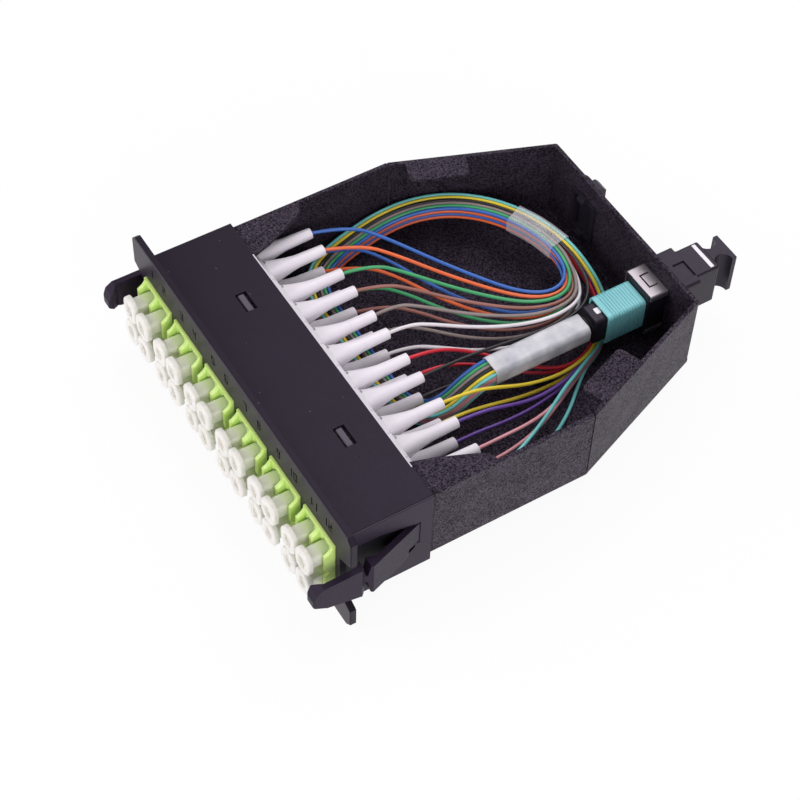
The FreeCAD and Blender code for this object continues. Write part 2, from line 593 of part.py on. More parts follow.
# ---------------------------------------------------------------- ports
def adapter_fin(x0, x1):
    """One wall of the adapter's mouth: hollow at top and bottom, with a nick in front."""
    z, h, m = PORT_Z, COLLAR_H / 2, MOUTH_H / 2
    y0, y1, middle = -MOUTH, -COLLAR_T / 2, -MOUTH / 2
    top = Part.Arc(V(x0, y0, z + m), V(x0, middle, z + m + HOLLOW), V(x0, y1, z + h)).toShape()
    low = Part.Arc(V(x0, y0, z - m), V(x0, middle, z - m - HOLLOW), V(x0, y1, z - h)).toShape()
    corners = [V(x0, y0, z + m), V(x0, y0, z + NICK_H / 2), V(x0, y0 + NICK_DEPTH, z),
               V(x0, y0, z - NICK_H / 2), V(x0, y0, z - m)]
    front = [Part.LineSegment(p, q).toShape() for p, q in zip(corners, corners[1:])]
    back = Part.LineSegment(V(x0, y1, z - h), V(x0, y1, z + h)).toShape()
    return Part.Face(Part.Wire(Part.__sortEdges__([top, back, low] + front))).extrude(
        V(x1 - x0, 0, 0))


def lc_adapter(i):
    """A four-port adapter: collar, body and mouth in one moulding."""
    x = adapter_x(i)
    body = block(x, ADAPTER_W, -COLLAR_T / 2, ADAPTER_REAR, PORT_Z, ADAPTER_H)
    body = fillet(body, 0.4, lambda e: runs_along(e, V(0, 1, 0)))
    collar = block(x, COLLAR_W, -COLLAR_T, 0, PORT_Z, COLLAR_H)
    half = COLLAR_W / 2
    fins = [adapter_fin(x - half, x - half + FIN_T), adapter_fin(x + half - FIN_T, x + half),
            adapter_fin(x - RIB_T / 2, x + RIB_T / 2),
            block(x, COLLAR_W - FIN_T, -MOUTH + CROSS_RIB_BACK + NICK_DEPTH, 0, PORT_Z,
                  CROSS_RIB_H)]
    solid = union([body, collar] + fins)
    cuts = []
    for side in (LEFT, RIGHT):
        px = x + side * LC_PITCH / 2
        for row in ROWS:
            pz = row_z(row)
            key_z = pz + row * (BORE / 2 + KEYWAY_H / 2 - FIT)
            cuts.append(block(px, BORE, -MOUTH - 1, MIDDLE_Y - 2.5, pz, BORE))
            cuts.append(block(px, KEYWAY_W, -MOUTH - 1, KEYWAY_DEPTH, key_z, KEYWAY_H + 2 * FIT))
            cuts.append(block(px, PLUG_SIDE + 2 * FIT, MIDDLE_Y + 2.5, ADAPTER_REAR + 1, pz,
                              PLUG_SIDE + 2 * FIT))
            cuts.append(block(px, KEYWAY_W, MIDDLE_Y + 4.0, ADAPTER_REAR + 1,
                              pz + row * (PLUG_SIDE / 2 + KEYWAY_H / 2), KEYWAY_H + 0.2))
            cuts.append(rod(SLEEVE_BORE / 2, V(px, 0, pz), V(0, 1, 0), ADAPTER_REAR - 4))
    return solid.cut(cuts)


def dust_cap(x, row):
    """A push-in cap: oval lobe with a recess, square neck, seat in the bore and round plug."""
    z = row_z(row)
    front, seat = -LOBE_FRONT, BORE - 2 * FIT
    lobe = rounded_bar(x, z, LOBE_W, LOBE_H, LOBE_ROUND, front, front + LOBE_T)
    lobe = fillet(lobe, 0.5, lambda e: all(abs(v.Y - front) < 1e-6 for v in e.Vertexes))
    recess = rounded_bar(x, z, LOBE_RECESS_W, LOBE_RECESS_H, LOBE_RECESS_W / 2 - FIT, front - 1,
                         front + LOBE_RECESS)
    neck = rounded_bar(x, z, CAP_NECK, CAP_NECK, 0.5, front + LOBE_T - 0.1, CAP_SEAT_FRONT + 0.1)
    block_in = rounded_bar(x, z, seat, seat, 0.4, CAP_SEAT_FRONT, CAP_SEAT_END)
    plug = rod(CAP_PLUG_D / 2, V(x, CAP_SEAT_END - 0.1, z), V(0, 1, 0),
               CAP_PLUG_END - CAP_SEAT_END + 0.1)
    bore = rod(CAP_BORE / 2, V(x, CAP_SEAT_END, z), V(0, 1, 0), CAP_PLUG_END)
    return union([lobe.cut(recess), neck, block_in, plug]).cut(bore)


def dust_caps(i):
    """The four caps of one adapter."""
    return Part.makeCompound([dust_cap(adapter_x(i) + side * LC_PITCH / 2, row)
                              for side in (LEFT, RIGHT) for row in ROWS])


def plug(column, row):
    """An LC plug: square housing, latch lever and ferrule."""
    x, z = port_x(column), row_z(row)
    start = MIDDLE_Y + 2.6
    body = block(x, PLUG_SIDE, start, PLUG_END, z, PLUG_SIDE)
    body = fillet(body, 0.3, lambda e: runs_along(e, V(0, 1, 0)))
    lever_z = z + row * (PLUG_SIDE / 2 + LATCH_T / 2)
    lever = block(x, KEYWAY_W - 0.4, MIDDLE_Y + 4.4, ADAPTER_REAR + 1.4, lever_z, LATCH_T + 0.1)
    ferrule = rod(FERRULE_D / 2, V(x, 6.0, z), V(0, 1, 0), start - 5.5)
    holder = rod(SLEEVE_BORE / 2 - FIT, V(x, MIDDLE_Y, z), V(0, 1, 0), start - MIDDLE_Y + 0.5)
    return union([body, lever, ferrule, holder])


def boot(column, row):
    """The white boot: brim, square root, concave taper and a slim round tail."""
    x, z = port_x(column), row_z(row)
    stations = [(PLUG_END, BOOT_BASE, BOOT_BASE / 5), (BOOT_FULL, BOOT_BASE, BOOT_BASE / 4),
                (BOOT_MIDDLE, BOOT_SHOULDER, BOOT_SHOULDER / 2.5),
                (BOOT_NECK, BOOT_WAIST, BOOT_WAIST / 2 - 0.02)]
    wires = [rounded_wire(x, z, w, w, r, y) for y, w, r in stations]
    root = Part.makeLoft(wires[:2], True, True)
    taper = Part.makeLoft(wires[1:], True, False)
    tail = Part.makeCone(BOOT_WAIST / 2, BOOT_TIP / 2, BOOT_END - BOOT_NECK, V(x, BOOT_NECK, z),
                         V(0, 1, 0))
    reach = [(pitch - BRIM_GAP) / 2 for pitch in (ADAPTER_PITCH - LC_PITCH, LC_PITCH)]
    left, right = reach if column % 2 == 0 else reversed(reach)
    if column == 0:
        left = BOOT_BASE / 2
    if column == 2 * ADAPTERS - 1:
        right = BOOT_BASE / 2
    brim = box(x - left, x + right, PLUG_END, BRIM_END, z - BOOT_BASE / 2, z + BOOT_BASE / 2)
    corner = x - BOOT_BASE / 2
    slot = box(corner, corner + BOOT_SLOT_L, BRIM_END, BRIM_END + BOOT_SLOT_W,
               z + BOOT_BASE / 2 - BOOT_SLOT_DEPTH, z + BOOT_BASE)
    return union([root, taper, tail, brim]).cut(slot)


def row_of(maker, row):
    """One row of twelve identical pieces."""
    return Part.makeCompound([maker(column, row) for column in range(2 * ADAPTERS)])


# ---------------------------------------------------------------- rear connector
def mpo_adapter():
    """Adapter through the rear wall, with its rim outside."""
    body = block(MPO_X, MPO_W, MPO_IN, MPO_OUT, MPO_Z, MPO_H)
    body = fillet(body, 0.5, lambda e: runs_along(e, V(0, 1, 0)))
    rim = rounded_bar(MPO_X, MPO_Z, MPO_RIM_W, MPO_H, 0.8, TRAY_REAR + FIT, MPO_RIM_END)
    bore = rounded_bar(MPO_X, MPO_Z, MPO_BORE_W, MPO_BORE_H, 0.8, MPO_IN - 1, MPO_OUT + 1)
    ledges = [block(MPO_X + MPO_LEDGE_X, MPO_LEDGE_W, MPO_LEDGE_FRONT, MPO_RIM_END + 0.1,
                    MPO_Z + side * MPO_H / 2, 2 * MPO_LEDGE_DEPTH) for side in (-1, 1)]
    return union([body, rim]).cut([bore] + ledges)


def mpo_clip():
    """Sprung metal clip round three sides of the adapter, with a tongue in its top."""
    w, h = MPO_W + 2 * CLIP_T + 2 * FIT, MPO_H + 2 * CLIP_T + 2 * FIT
    outside = rounded_bar(MPO_X, MPO_Z, w, h, 0.6, CLIP_FRONT, CLIP_REAR)
    inside = block(MPO_X, MPO_W + 2 * FIT, CLIP_FRONT - 1, CLIP_REAR + 1, MPO_Z, MPO_H + 2 * FIT)
    open_side = box(MPO_X + MPO_W / 2 - 2 * CLIP_T, MPO_X + MPO_W, CLIP_FRONT - 1, CLIP_REAR + 1,
                    MPO_Z - MPO_H / 2 + CLIP_SIDE, MPO_Z + MPO_H / 2 - CLIP_SIDE)
    cuts = [inside, open_side]
    half, y0 = CLIP_TONGUE_W / 2 + CLIP_CUT, CLIP_FRONT + CLIP_TONGUE_FRONT
    for side in (-1, 1):
        z = MPO_Z + side * (MPO_H / 2 + FIT + CLIP_T / 2)
        cuts += [block(MPO_X - half + CLIP_CUT / 2, CLIP_CUT, y0, y0 + CLIP_TONGUE_L, z, 3 * CLIP_T),
                 block(MPO_X + half - CLIP_CUT / 2, CLIP_CUT, y0, y0 + CLIP_TONGUE_L, z, 3 * CLIP_T),
                 block(MPO_X, 2 * half, y0, y0 + CLIP_CUT, z, 3 * CLIP_T)]
    return outside.cut(cuts)


def coupling_sleeve():
    """Ribbed grip sleeve that slides on the MPO plug."""
    outside = rounded_bar(MPO_X, MPO_Z, SLEEVE_W, SLEEVE_H, 1.1, SLEEVE_FRONT, SLEEVE_REAR)
    inside = rounded_bar(MPO_X, MPO_Z, CORE_W + 2 * SLIDE_GAP, CORE_H + 2 * SLIDE_GAP, 0.7,
                         SLEEVE_FRONT - 1, SLEEVE_REAR + 1)
    grooves = []
    for i in range(GROOVES):
        y = SLEEVE_FRONT + GROOVE_MARGIN + i * GROOVE_PITCH
        if y + GROOVE_W > SLEEVE_REAR - GROOVE_W:
            break
        ring = block(MPO_X, 2 * SLEEVE_W, y, y + GROOVE_W, MPO_Z, 2 * SLEEVE_H)
        core = rounded_bar(MPO_X, MPO_Z, SLEEVE_W - 2 * GROOVE_DEPTH, SLEEVE_H - 2 * GROOVE_DEPTH,
                           1.1 - GROOVE_DEPTH, y - 1, y + GROOVE_W + 1)
        grooves.append(ring.cut(core))
    return outside.cut([inside] + grooves)


def mpo_plug():
    """Inner housing of the MPO plug with its collar."""
    core = rounded_bar(MPO_X, MPO_Z, CORE_W, CORE_H, CORE_ROUND,
                       CORE_FRONT + COLLAR_M_T - FIT, CORE_REAR)
    collar = rounded_bar(MPO_X, MPO_Z, CORE_W - 2 * FIT, CORE_H - 2 * FIT, CORE_ROUND, CORE_FRONT,
                         CORE_FRONT + COLLAR_M_T)
    return union([core, collar])


def mpo_boot():
    """Ribbed strain relief between the plug and the label tube."""
    stem = rod(BOOT_M_D / 2, V(MPO_X, BOOT_M_FRONT, MPO_Z), V(0, 1, 0), CORE_FRONT - BOOT_M_FRONT)
    rings = [rod(RING_D / 2, V(MPO_X, BOOT_M_FRONT + RING_START + i * RING_PITCH, MPO_Z),
                 V(0, 1, 0), RING_T) for i in range(2)]
    return union([stem] + rings)


def mpo_dust_cap():
    """Cap on the outer port: hollow plug, square head and a waisted grip."""
    head = rounded_bar(MPO_X, MPO_Z, MPO_W, MPO_H - 2 * MCAP_LOWER, 0.6, MPO_OUT, MCAP_REAR)
    head = fillet(head, 0.5, lambda e: all(abs(v.Y - MCAP_REAR) < 1e-6 for v in e.Vertexes))
    stub = rounded_bar(MPO_X, MPO_Z, MPO_BORE_W - 2 * FIT, MPO_BORE_H - 2 * FIT, 0.7,
                       CORE_REAR + 0.6, MPO_OUT + 0.2)
    y0, y1, height = MCAP_REAR - 0.2, MCAP_GRIP, MPO_H - 2 * GRIP_LOWER
    root, waist, end = GRIP_ROOT_W / 2, GRIP_WAIST_W / 2, GRIP_W / 2
    waist_y, plate_y = y0 + GRIP_WAIST_Y, MCAP_GRIP - GRIP_T
    right = [Part.Arc(V(MPO_X + root, y0, 0), V(MPO_X + waist + (root - waist) / 6,
                      y0 + GRIP_WAIST_Y * 0.4, 0), V(MPO_X + waist, waist_y, 0)).toShape(),
             Part.Arc(V(MPO_X + waist, waist_y, 0), V(MPO_X + waist + (end - waist) / 4,
                      waist_y + (plate_y - waist_y) * 0.6, 0),
                      V(MPO_X + end, plate_y, 0)).toShape(),
             Part.LineSegment(V(MPO_X + end, plate_y, 0), V(MPO_X + end, y1, 0)).toShape()]
    left = [e.mirror(V(MPO_X, 0, 0), V(1, 0, 0)) for e in right]
    ends = [Part.LineSegment(V(MPO_X - end, y1, 0), V(MPO_X + end, y1, 0)).toShape(),
            Part.LineSegment(V(MPO_X - root, y0, 0), V(MPO_X + root, y0, 0)).toShape()]
    wire = Part.Wire(Part.__sortEdges__(right + left + ends))
    grip = Part.Face(wire).extrude(V(0, 0, height))
    grip.translate(V(0, 0, MPO_Z - height / 2))
    return union([head, stub, grip])


def port_blank():
    """Plug that closes the second rear opening: rounded head, upright grip, two snap legs."""
    outer = TRAY_REAR + FIT + BLANK_T
    inside = TRAY_REAR - SHEET
    head = rounded_bar(BLANK_X, MPO_Z, BLANK_W, BLANK_H, BLANK_ROUND, TRAY_REAR + FIT, outer)
    head = fillet(head, BLANK_EDGE, lambda e: all(abs(v.Y - outer) < 1e-6 for v in e.Vertexes))
    knob = plate_yz([(outer - 0.1, MPO_Z - KNOB_H / 2), (outer + KNOB_T, MPO_Z - KNOB_H / 2 + KNOB_T),
                     (outer + KNOB_T, MPO_Z + KNOB_H / 2 - KNOB_T / 2),
                     (outer + KNOB_T / 2, MPO_Z + KNOB_H / 2), (outer - 0.1, MPO_Z + KNOB_H / 2)],
                    BLANK_X - KNOB_W / 2, BLANK_X + KNOB_W / 2)
    knob = fillet(knob, KNOB_W / 8, lambda e: runs_along(e, V(0, 0, 1)) and
                  e.Vertexes[0].Y > outer + KNOB_T - 1e-6)
    stem = block(BLANK_X, MPO_W, inside - LEG_L / 3, TRAY_REAR + BLANK_T / 2, MPO_Z, MPO_H)
    hollow = block(BLANK_X, MPO_W - 2 * BLANK_WALL, inside - LEG_L, TRAY_REAR, MPO_Z,
                   MPO_H - 2 * BLANK_WALL)
    legs = [block(BLANK_X, LEG_W, inside - LEG_L, TRAY_REAR,
                  MPO_Z + side * (MPO_H / 2 - LEG_T / 2), LEG_T) for side in (-1, 1)]
    barbs = [block(BLANK_X, LEG_W, inside - BARB_L - FIT, inside - FIT,
                   MPO_Z + side * (MPO_H / 2 + BARB_OUT / 2 - FIT), BARB_OUT + 2 * FIT)
             for side in (-1, 1)]
    return union([head, knob, stem] + legs + barbs).cut(hollow)


def label_tube():
    """Clear flattened tube over the fan-out."""
    outside = rounded_bar(MPO_X, MPO_Z, TUBE_W, TUBE_H, TUBE_ROUND, TUBE_FRONT, TUBE_REAR)
    inside = rounded_bar(MPO_X, MPO_Z, TUBE_W - 2 * TUBE_WALL, TUBE_H - 2 * TUBE_WALL,
                         TUBE_ROUND - TUBE_WALL, TUBE_FRONT - 1, TUBE_REAR + 1)
    return outside.cut(inside)


def fanout_body():
    """Body that splits the ribbon into single fibres, inside the label tube."""
    gap = TUBE_WALL + 0.02
    bar = rounded_bar(MPO_X, MPO_Z, TUBE_W - 2 * gap, TUBE_H - 2 * gap, TUBE_ROUND - gap,
                      FANOUT_FRONT, TUBE_REAR)
    stem_room = rod(2.95, V(MPO_X, BOOT_M_FRONT, MPO_Z), V(0, 1, 0), 3)
    return bar.cut(stem_room)


# ---------------------------------------------------------------- fibres
def lane_points(points, across, up, before=None, after=None):
    """The same route shifted sideways and upwards, for one fibre of the bundle."""
    route = [V(*p) for p in points]
    ends = [V(*before) if before else None, V(*after) if after else None]
    out = []
    for i, p in enumerate(route):
        back = route[i - 1] if i else ends[0]
        ahead = route[i + 1] if i < len(route) - 1 else ends[1]
        runs = [r.normalize() for r in ((p - back) if back else None,
                                        (ahead - p) if ahead else None) if r]
        a, b = runs[0], runs[-1]
        side_a, side_b = (V(0, 0, 1).cross(r).normalize() for r in (a, b))
        top_a, top_b = a.cross(side_a), b.cross(side_b)
        side = (side_a + side_b) / (1 + side_a.dot(side_b))
        top = (top_a + top_b) / (1 + top_a.dot(top_b))
        out.append(p + side * across + top * up)
    return out


def fibre_points(row, port):
    """Points of one fibre, from the fan-out to the end of its boot."""
    pair = (port - 1) // 2
    across = (pair - (ADAPTERS - 1) / 2) * LANE
    up = (LAYER[row][port - 1] - (LAYERS - 1) / 2) * LANE
    sign = 1 if row == "upper" else -1
    end = V(port_x(port - 1), BOOT_END, row_z(sign))
    if (row, port) in TAILS:
        tail = TAILS[row, port]
        trunk = lane_points(TRUNK, across - 1.5 * LANE, up, BUNDLE[-1], tail[0])
        return lane_points(BUNDLE, across, up, after=TRUNK[0]) + trunk + [V(*p) for p in tail] + [end]
    if port <= ADAPTERS:
        pairs = {"upper": (UPPER_INNER, UPPER_OUTER), "lower": (LOWER_INNER, LOWER_OUTER)}[row]
        share = (port - 1) / (ADAPTERS - 1)
        loop = [V(*p) * (1 - share) + V(*q) * share for p, q in zip(*pairs)]
    else:
        loop = [V(*p) for p in PORT_8_LOOP]
    start = lane_points(BUNDLE, across, up, after=loop[0])
    rise = up - sign * LANE
    for i, part in enumerate(SETTLE):
        loop[i] = loop[i] + V(0, 0, rise * part)
    return start + loop + [end]


def round_path(points):
    """Straight runs joined by tangent arcs, each as large as its two runs allow."""
    edges, radii, start = [], [], points[0]
    for before, p, after in zip(points, points[1:], points[2:]):
        a, b = before - p, after - p
        reach = 0.45 * min(a.Length, b.Length)
        turn = math.pi - a.getAngle(b)
        radii.append(reach / math.tan(turn / 2))
        enter, leave = p + a.normalize() * reach, p + b.normalize() * reach
        bisector = (a + b).normalize()
        middle = p + bisector * (radii[-1] / math.cos(turn / 2) - radii[-1])
        edges.append(Part.LineSegment(start, enter).toShape())
        edges.append(Part.Arc(enter, middle, leave).toShape())
        start = leave
    edges.append(Part.LineSegment(start, points[-1]).toShape())
    return Part.Wire(edges), radii


def fibre(row, port):
    """One fibre as a tube; also its length and its smallest bend radius."""
    points = fibre_points(row, port)
    path, radii = round_path(points)
    ring = Part.Wire(Part.makeCircle(FIBRE_D / 2, points[0], points[1] - points[0]))
    tube = path.makePipeShell([ring], True, False)
    print("fibre %s %2d: length %.1f, smallest radius %.1f, volume against section times "
          "length %.4f" % (row, port, path.Length, min(radii),
                           tube.Volume / (path.Length * math.pi * FIBRE_D ** 2 / 4)))
    return tube


def loop_sleeve():
    """Clear flattened sleeve that keeps the bundle together."""
    route = [V(*p) for p in BUNDLE[-FILM_RUNS - 1:]]
    route[0] = route[0] + (route[1] - route[0]).normalize() * FILM_START
    route[-1] = route[-1] - (route[-1] - route[-2]).normalize() * FILM_END
    path, _ = round_path(route)
    w = (ADAPTERS - 1) * LANE + FIBRE_D + 2 * FILM_GAP
    h = (LAYERS - 1) * LANE + FIBRE_D + 2 * FILM_GAP
    along = route[1] - route[0]
    turn = math.degrees(math.atan2(along.y, along.x)) - 90
    solids = []
    for grow in (FILM_WALL, 0):
        ring = rounded_wire(0, 0, w + 2 * grow, h + 2 * grow, 0.6 + grow, 0)
        ring.rotate(V(0, 0, 0), V(0, 0, 1), turn)
        ring.translate(route[0])
        solids.append(path.makePipeShell([ring], True, False))
    return solids[0].cut(solids[1])


# ---------------------------------------------------------------- export
def parts():
    """Every node and its shape."""
    latch_right = latch()
    made = {
        "front_housing": front_housing(),
        "left_latch": mirrored(latch_right),
        "right_latch": latch_right,
        "tray": tray(),
        "mpo_adapter": mpo_adapter(),
        "mpo_clip": mpo_clip(),
        "mpo_coupling_sleeve": coupling_sleeve(),
        "mpo_plug": mpo_plug(),
        "mpo_boot": mpo_boot(),
        "mpo_dust_cap": mpo_dust_cap(),
        "port_blank": port_blank(),
        "label_tube": label_tube(),
        "fanout_body": fanout_body(),
        "lc_plugs_upper": row_of(plug, 1),
        "lc_plugs_lower": row_of(plug, -1),
        "lc_boots_upper": row_of(boot, 1),
        "lc_boots_lower": row_of(boot, -1),
    }
    for i in range(ADAPTERS):
        made["lc_adapter_%d" % (i + 1)] = lc_adapter(i)
        made["dust_caps_%d" % (i + 1)] = dust_caps(i)
    made["loop_sleeve"] = loop_sleeve()
    for row in ("upper", "lower"):
        for port in range(1, 2 * ADAPTERS + 1):
            made["fibre_%s_%d" % (row, port)] = fibre(row, port)
    return made


def main():
    """Write one STEP file for each node."""
    os.makedirs("parts", exist_ok=True)
    for name, shape in parts().items():
        shape.exportStep("parts/" + name + ".step")
        print("%-22s solids %2d volume %9.2f mm3 valid %s"
              % (name, len(shape.Solids), shape.Volume, shape.isValid()))


main()
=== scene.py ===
import logging
import math
from dataclasses import dataclass, field
from enum import Enum

import bmesh
import bpy
from mathutils import Matrix, Vector


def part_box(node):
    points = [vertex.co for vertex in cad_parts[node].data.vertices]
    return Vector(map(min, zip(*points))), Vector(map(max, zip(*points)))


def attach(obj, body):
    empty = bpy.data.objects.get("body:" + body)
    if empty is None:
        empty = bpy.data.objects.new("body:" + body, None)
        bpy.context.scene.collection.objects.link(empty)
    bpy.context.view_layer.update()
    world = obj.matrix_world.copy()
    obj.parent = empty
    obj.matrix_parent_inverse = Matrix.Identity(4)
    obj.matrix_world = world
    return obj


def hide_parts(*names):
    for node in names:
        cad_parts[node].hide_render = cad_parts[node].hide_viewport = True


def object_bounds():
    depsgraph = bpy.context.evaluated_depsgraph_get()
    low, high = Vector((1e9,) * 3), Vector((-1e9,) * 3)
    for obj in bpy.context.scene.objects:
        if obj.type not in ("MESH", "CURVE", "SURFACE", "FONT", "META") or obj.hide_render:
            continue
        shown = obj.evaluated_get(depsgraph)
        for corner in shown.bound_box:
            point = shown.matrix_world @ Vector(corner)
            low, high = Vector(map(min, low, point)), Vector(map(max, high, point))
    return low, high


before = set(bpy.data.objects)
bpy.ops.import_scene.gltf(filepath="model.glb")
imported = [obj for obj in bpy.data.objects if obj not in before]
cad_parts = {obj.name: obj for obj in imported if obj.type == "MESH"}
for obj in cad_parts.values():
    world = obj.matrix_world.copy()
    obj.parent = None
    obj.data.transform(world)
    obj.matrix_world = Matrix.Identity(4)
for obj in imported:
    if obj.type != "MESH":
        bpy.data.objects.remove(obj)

# Finishes, fibres and studio of a lid-off fibre cassette.  Metres, in the frame of the solids:
# +X from port 1 to port 12, +Y to the rear, +Z up out of the open tray.

LOG = logging.getLogger("cassette")
CAD_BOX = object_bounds()
Point = tuple[float, float, float]
Route = tuple[Point, ...]
Colour = tuple[float, float, float]
MIDDLE: Point = (0.0, 0.05, 0.0)        # what the floor and the lights are set out round


class Row(Enum):
    """The two rows of ports; the value is the row's side of the middle height."""

    UPPER = 1
    LOWER = -1


def chip(red: int, green: int, blue: int) -> Colour:
    """Turn an 8-bit colour chip into linear light.

    Args:
        red: Red, 0 to 255.
        green: Green, 0 to 255.
        blue: Blue, 0 to 255.

    Returns:
        The linear colour that renders as the chip.
    """
    def linear(value: int) -> float:
        """Turn one channel into linear light.

        Args:
            value: The channel, 0 to 255.

        Returns:
            Its linear value.
        """
        c = value / 255
        return c / 12.92 if c <= 0.04045 else ((c + 0.055) / 1.055) ** 2.4

    return linear(red), linear(green), linear(blue)


# ------------------------------------------------------------------ shader work
class ShaderSheet:
    """A node material while it is being wired up."""

    def __init__(self, name: str) -> None:
        """Start an empty material with its surface shader.

        Args:
            name: Name of the material.
        """
        self.material = bpy.data.materials.new(name)
        self.material.use_nodes = True
        self.tree = self.material.node_tree
        self.shader = self.tree.nodes["Principled BSDF"]
        self.place = self.node("ShaderNodeTexCoord").outputs["Object"]

    def node(self, kind: str, **inputs: object) -> bpy.types.Node:
        """Add a node and set its sockets; a socket given another socket is wired to it.

        Args:
            kind: Node type, such as ShaderNodeTexNoise.
            **inputs: Socket names with underscores for blanks, and values or sockets.

        Returns:
            The new node.
        """
        made = self.tree.nodes.new(kind)
        for name, value in inputs.items():
            self.put(made, name.replace("_", " "), value)
        return made

    def put(self, node: bpy.types.Node, socket: str | int, value: object) -> None:
        """Set one socket of a node, or wire it.

        Args:
            node: The node.
            socket: Name or number of its input.
            value: A value, or the output socket to wire in.
        """
        if isinstance(value, bpy.types.NodeSocket):
            self.tree.links.new(value, node.inputs[socket])
        else:
            node.inputs[socket].default_value = value

    def noise(self, size: float, detail: float = 3.0, roughness: float = 0.5,
              place: bpy.types.NodeSocket | None = None,
              twist: float = 0.0) -> bpy.types.NodeSocket:
        """Cloudy pattern.

        Args:
            size: Size of its lumps in metres.
            detail: Number of finer layers.
            roughness: Strength of the finer layers.
            place: Coordinates, when not the piece's own.
            twist: How far the lumps wind into each other.

        Returns:
            The pattern's value, 0 to 1.
        """
        made = self.node("ShaderNodeTexNoise", Vector=place or self.place, Scale=1 / size,
                         Detail=detail, Roughness=roughness, Distortion=twist)
        return made.outputs["Fac"]

    def cells(self, size: float) -> bpy.types.NodeSocket:
        """Cell pattern.

        Args:
            size: Size of a cell in metres.

        Returns:
            The distance from the middle of each cell.
        """
        made = self.node("ShaderNodeTexVoronoi", Vector=self.place, Scale=1 / size)
        return made.outputs["Distance"]

    def ramp(self, value: bpy.types.NodeSocket,
             stops: tuple[tuple[float, Colour], ...]) -> bpy.types.NodeSocket:
        """Colours along a value.

        Args:
            value: The value, 0 to 1.
            stops: Places and linear colours.

        Returns:
            The colour socket.
        """
        made = self.node("ShaderNodeValToRGB", Fac=value)
        bar = made.color_ramp
        while len(bar.elements) < len(stops):
            bar.elements.new(0.5)
        for element, (at, colour) in zip(bar.elements, stops):
            element.position = at
            element.color = (*colour, 1.0)
        return made.outputs["Color"]

    def spread(self, value: bpy.types.NodeSocket, low: float, high: float,
               from_low: float = 0.3, from_high: float = 0.7) -> bpy.types.NodeSocket:
        """Map a pattern onto a range.

        Args:
            value: The pattern.
            low: Result at its low end.
            high: Result at its high end.
            from_low: The pattern's low end.
            from_high: The pattern's high end.

        Returns:
            The mapped value.
        """
        made = self.node("ShaderNodeMapRange", Value=value)
        for name, number in (("From Min", from_low), ("From Max", from_high), ("To Min", low),
                             ("To Max", high)):
            made.inputs[name].default_value = number
        return made.outputs["Result"]

    def mix(self, share: bpy.types.NodeSocket, colour: bpy.types.NodeSocket,
            other: Colour) -> bpy.types.NodeSocket:
        """Mix a plain colour into another.

        Args:
            share: How much of the plain colour shows, 0 to 1.
            colour: The colour below.
            other: The plain colour.

        Returns:
            The mixed colour.
        """
        made = self.tree.nodes.new("ShaderNodeMix")
        made.data_type = "RGBA"
        self.tree.links.new(share, made.inputs[0])
        self.tree.links.new(colour, made.inputs[6])
        made.inputs[7].default_value = (*other, 1.0)
        return made.outputs[2]

    def math(self, operation: str, *values: object) -> bpy.types.NodeSocket:
        """Do one sum on values.

        Args:
            operation: The sum, such as MULTIPLY.
            *values: Its terms, each a number or a socket.

        Returns:
            The result.
        """
        made = self.tree.nodes.new("ShaderNodeMath")
        made.operation = operation
        for i, value in enumerate(values):
            self.put(made, i, value)
        return made.outputs[0]

    def shifted(self, operation: str, place: bpy.types.NodeSocket,
                by: Point = (0.0, 0.0, 0.0)) -> bpy.types.NodeSocket:
        """Do one sum on coordinates.

        Args:
            operation: The sum, such as SUBTRACT.
            place: The coordinates.
            by: Its second term.

        Returns:
            The new coordinates.
        """
        made = self.tree.nodes.new("ShaderNodeVectorMath")
        made.operation = operation
        self.put(made, 0, place)
        self.put(made, 1, by)
        return made.outputs[0]

    def inside(self, patch: "Patch") -> bpy.types.NodeSocket:
        """Value that is 1 inside a patch's box and 0 outside it.

        Args:
            patch: The patch.

        Returns:
            The value.
        """
        centre = tuple((a + b) / 2 for a, b in zip(patch.low, patch.high))
        half = tuple((b - a) / 2 for a, b in zip(patch.low, patch.high))
        away = self.shifted("ABSOLUTE", self.shifted("SUBTRACT", self.place, centre))
        axes = self.node("ShaderNodeSeparateXYZ", Vector=self.shifted("SUBTRACT", away, half))
        x, y, z = axes.outputs
        furthest = self.math("MAXIMUM", self.math("MAXIMUM", x, y), z)
        return self.spread(furthest, 1.0, 0.0, -patch.soft, patch.soft)

    def emboss(self, height: bpy.types.NodeSocket, depth: float, edge: float = 0.0) -> None:
        """Press a height pattern into the surface, over softened edges.

        Args:
            height: Height pattern, 0 to 1.
            depth: Depth of the pattern in metres.
            edge: Radius that sharp edges are softened to, in metres.
        """
        bump = self.node("ShaderNodeBump", Height=height, Strength=1.0, Distance=depth)
        if edge:
            soft = self.node("ShaderNodeBevel", Radius=edge)
            soft.samples = 4
            self.put(bump, "Normal", soft.outputs["Normal"])
        self.put(self.shader, "Normal", bump.outputs["Normal"])

    def surface(self, **values: object) -> bpy.types.Material:
        """Set sockets of the surface shader.

        Args:
            **values: Socket names with underscores for blanks, and values or sockets.

        Returns:
            The finished material.
        """
        for name, value in values.items():
            self.put(self.shader, name.replace("_", " "), value)
        return self.material


# ------------------------------------------------------------------ fibre routes
LC_PITCH = 0.00625
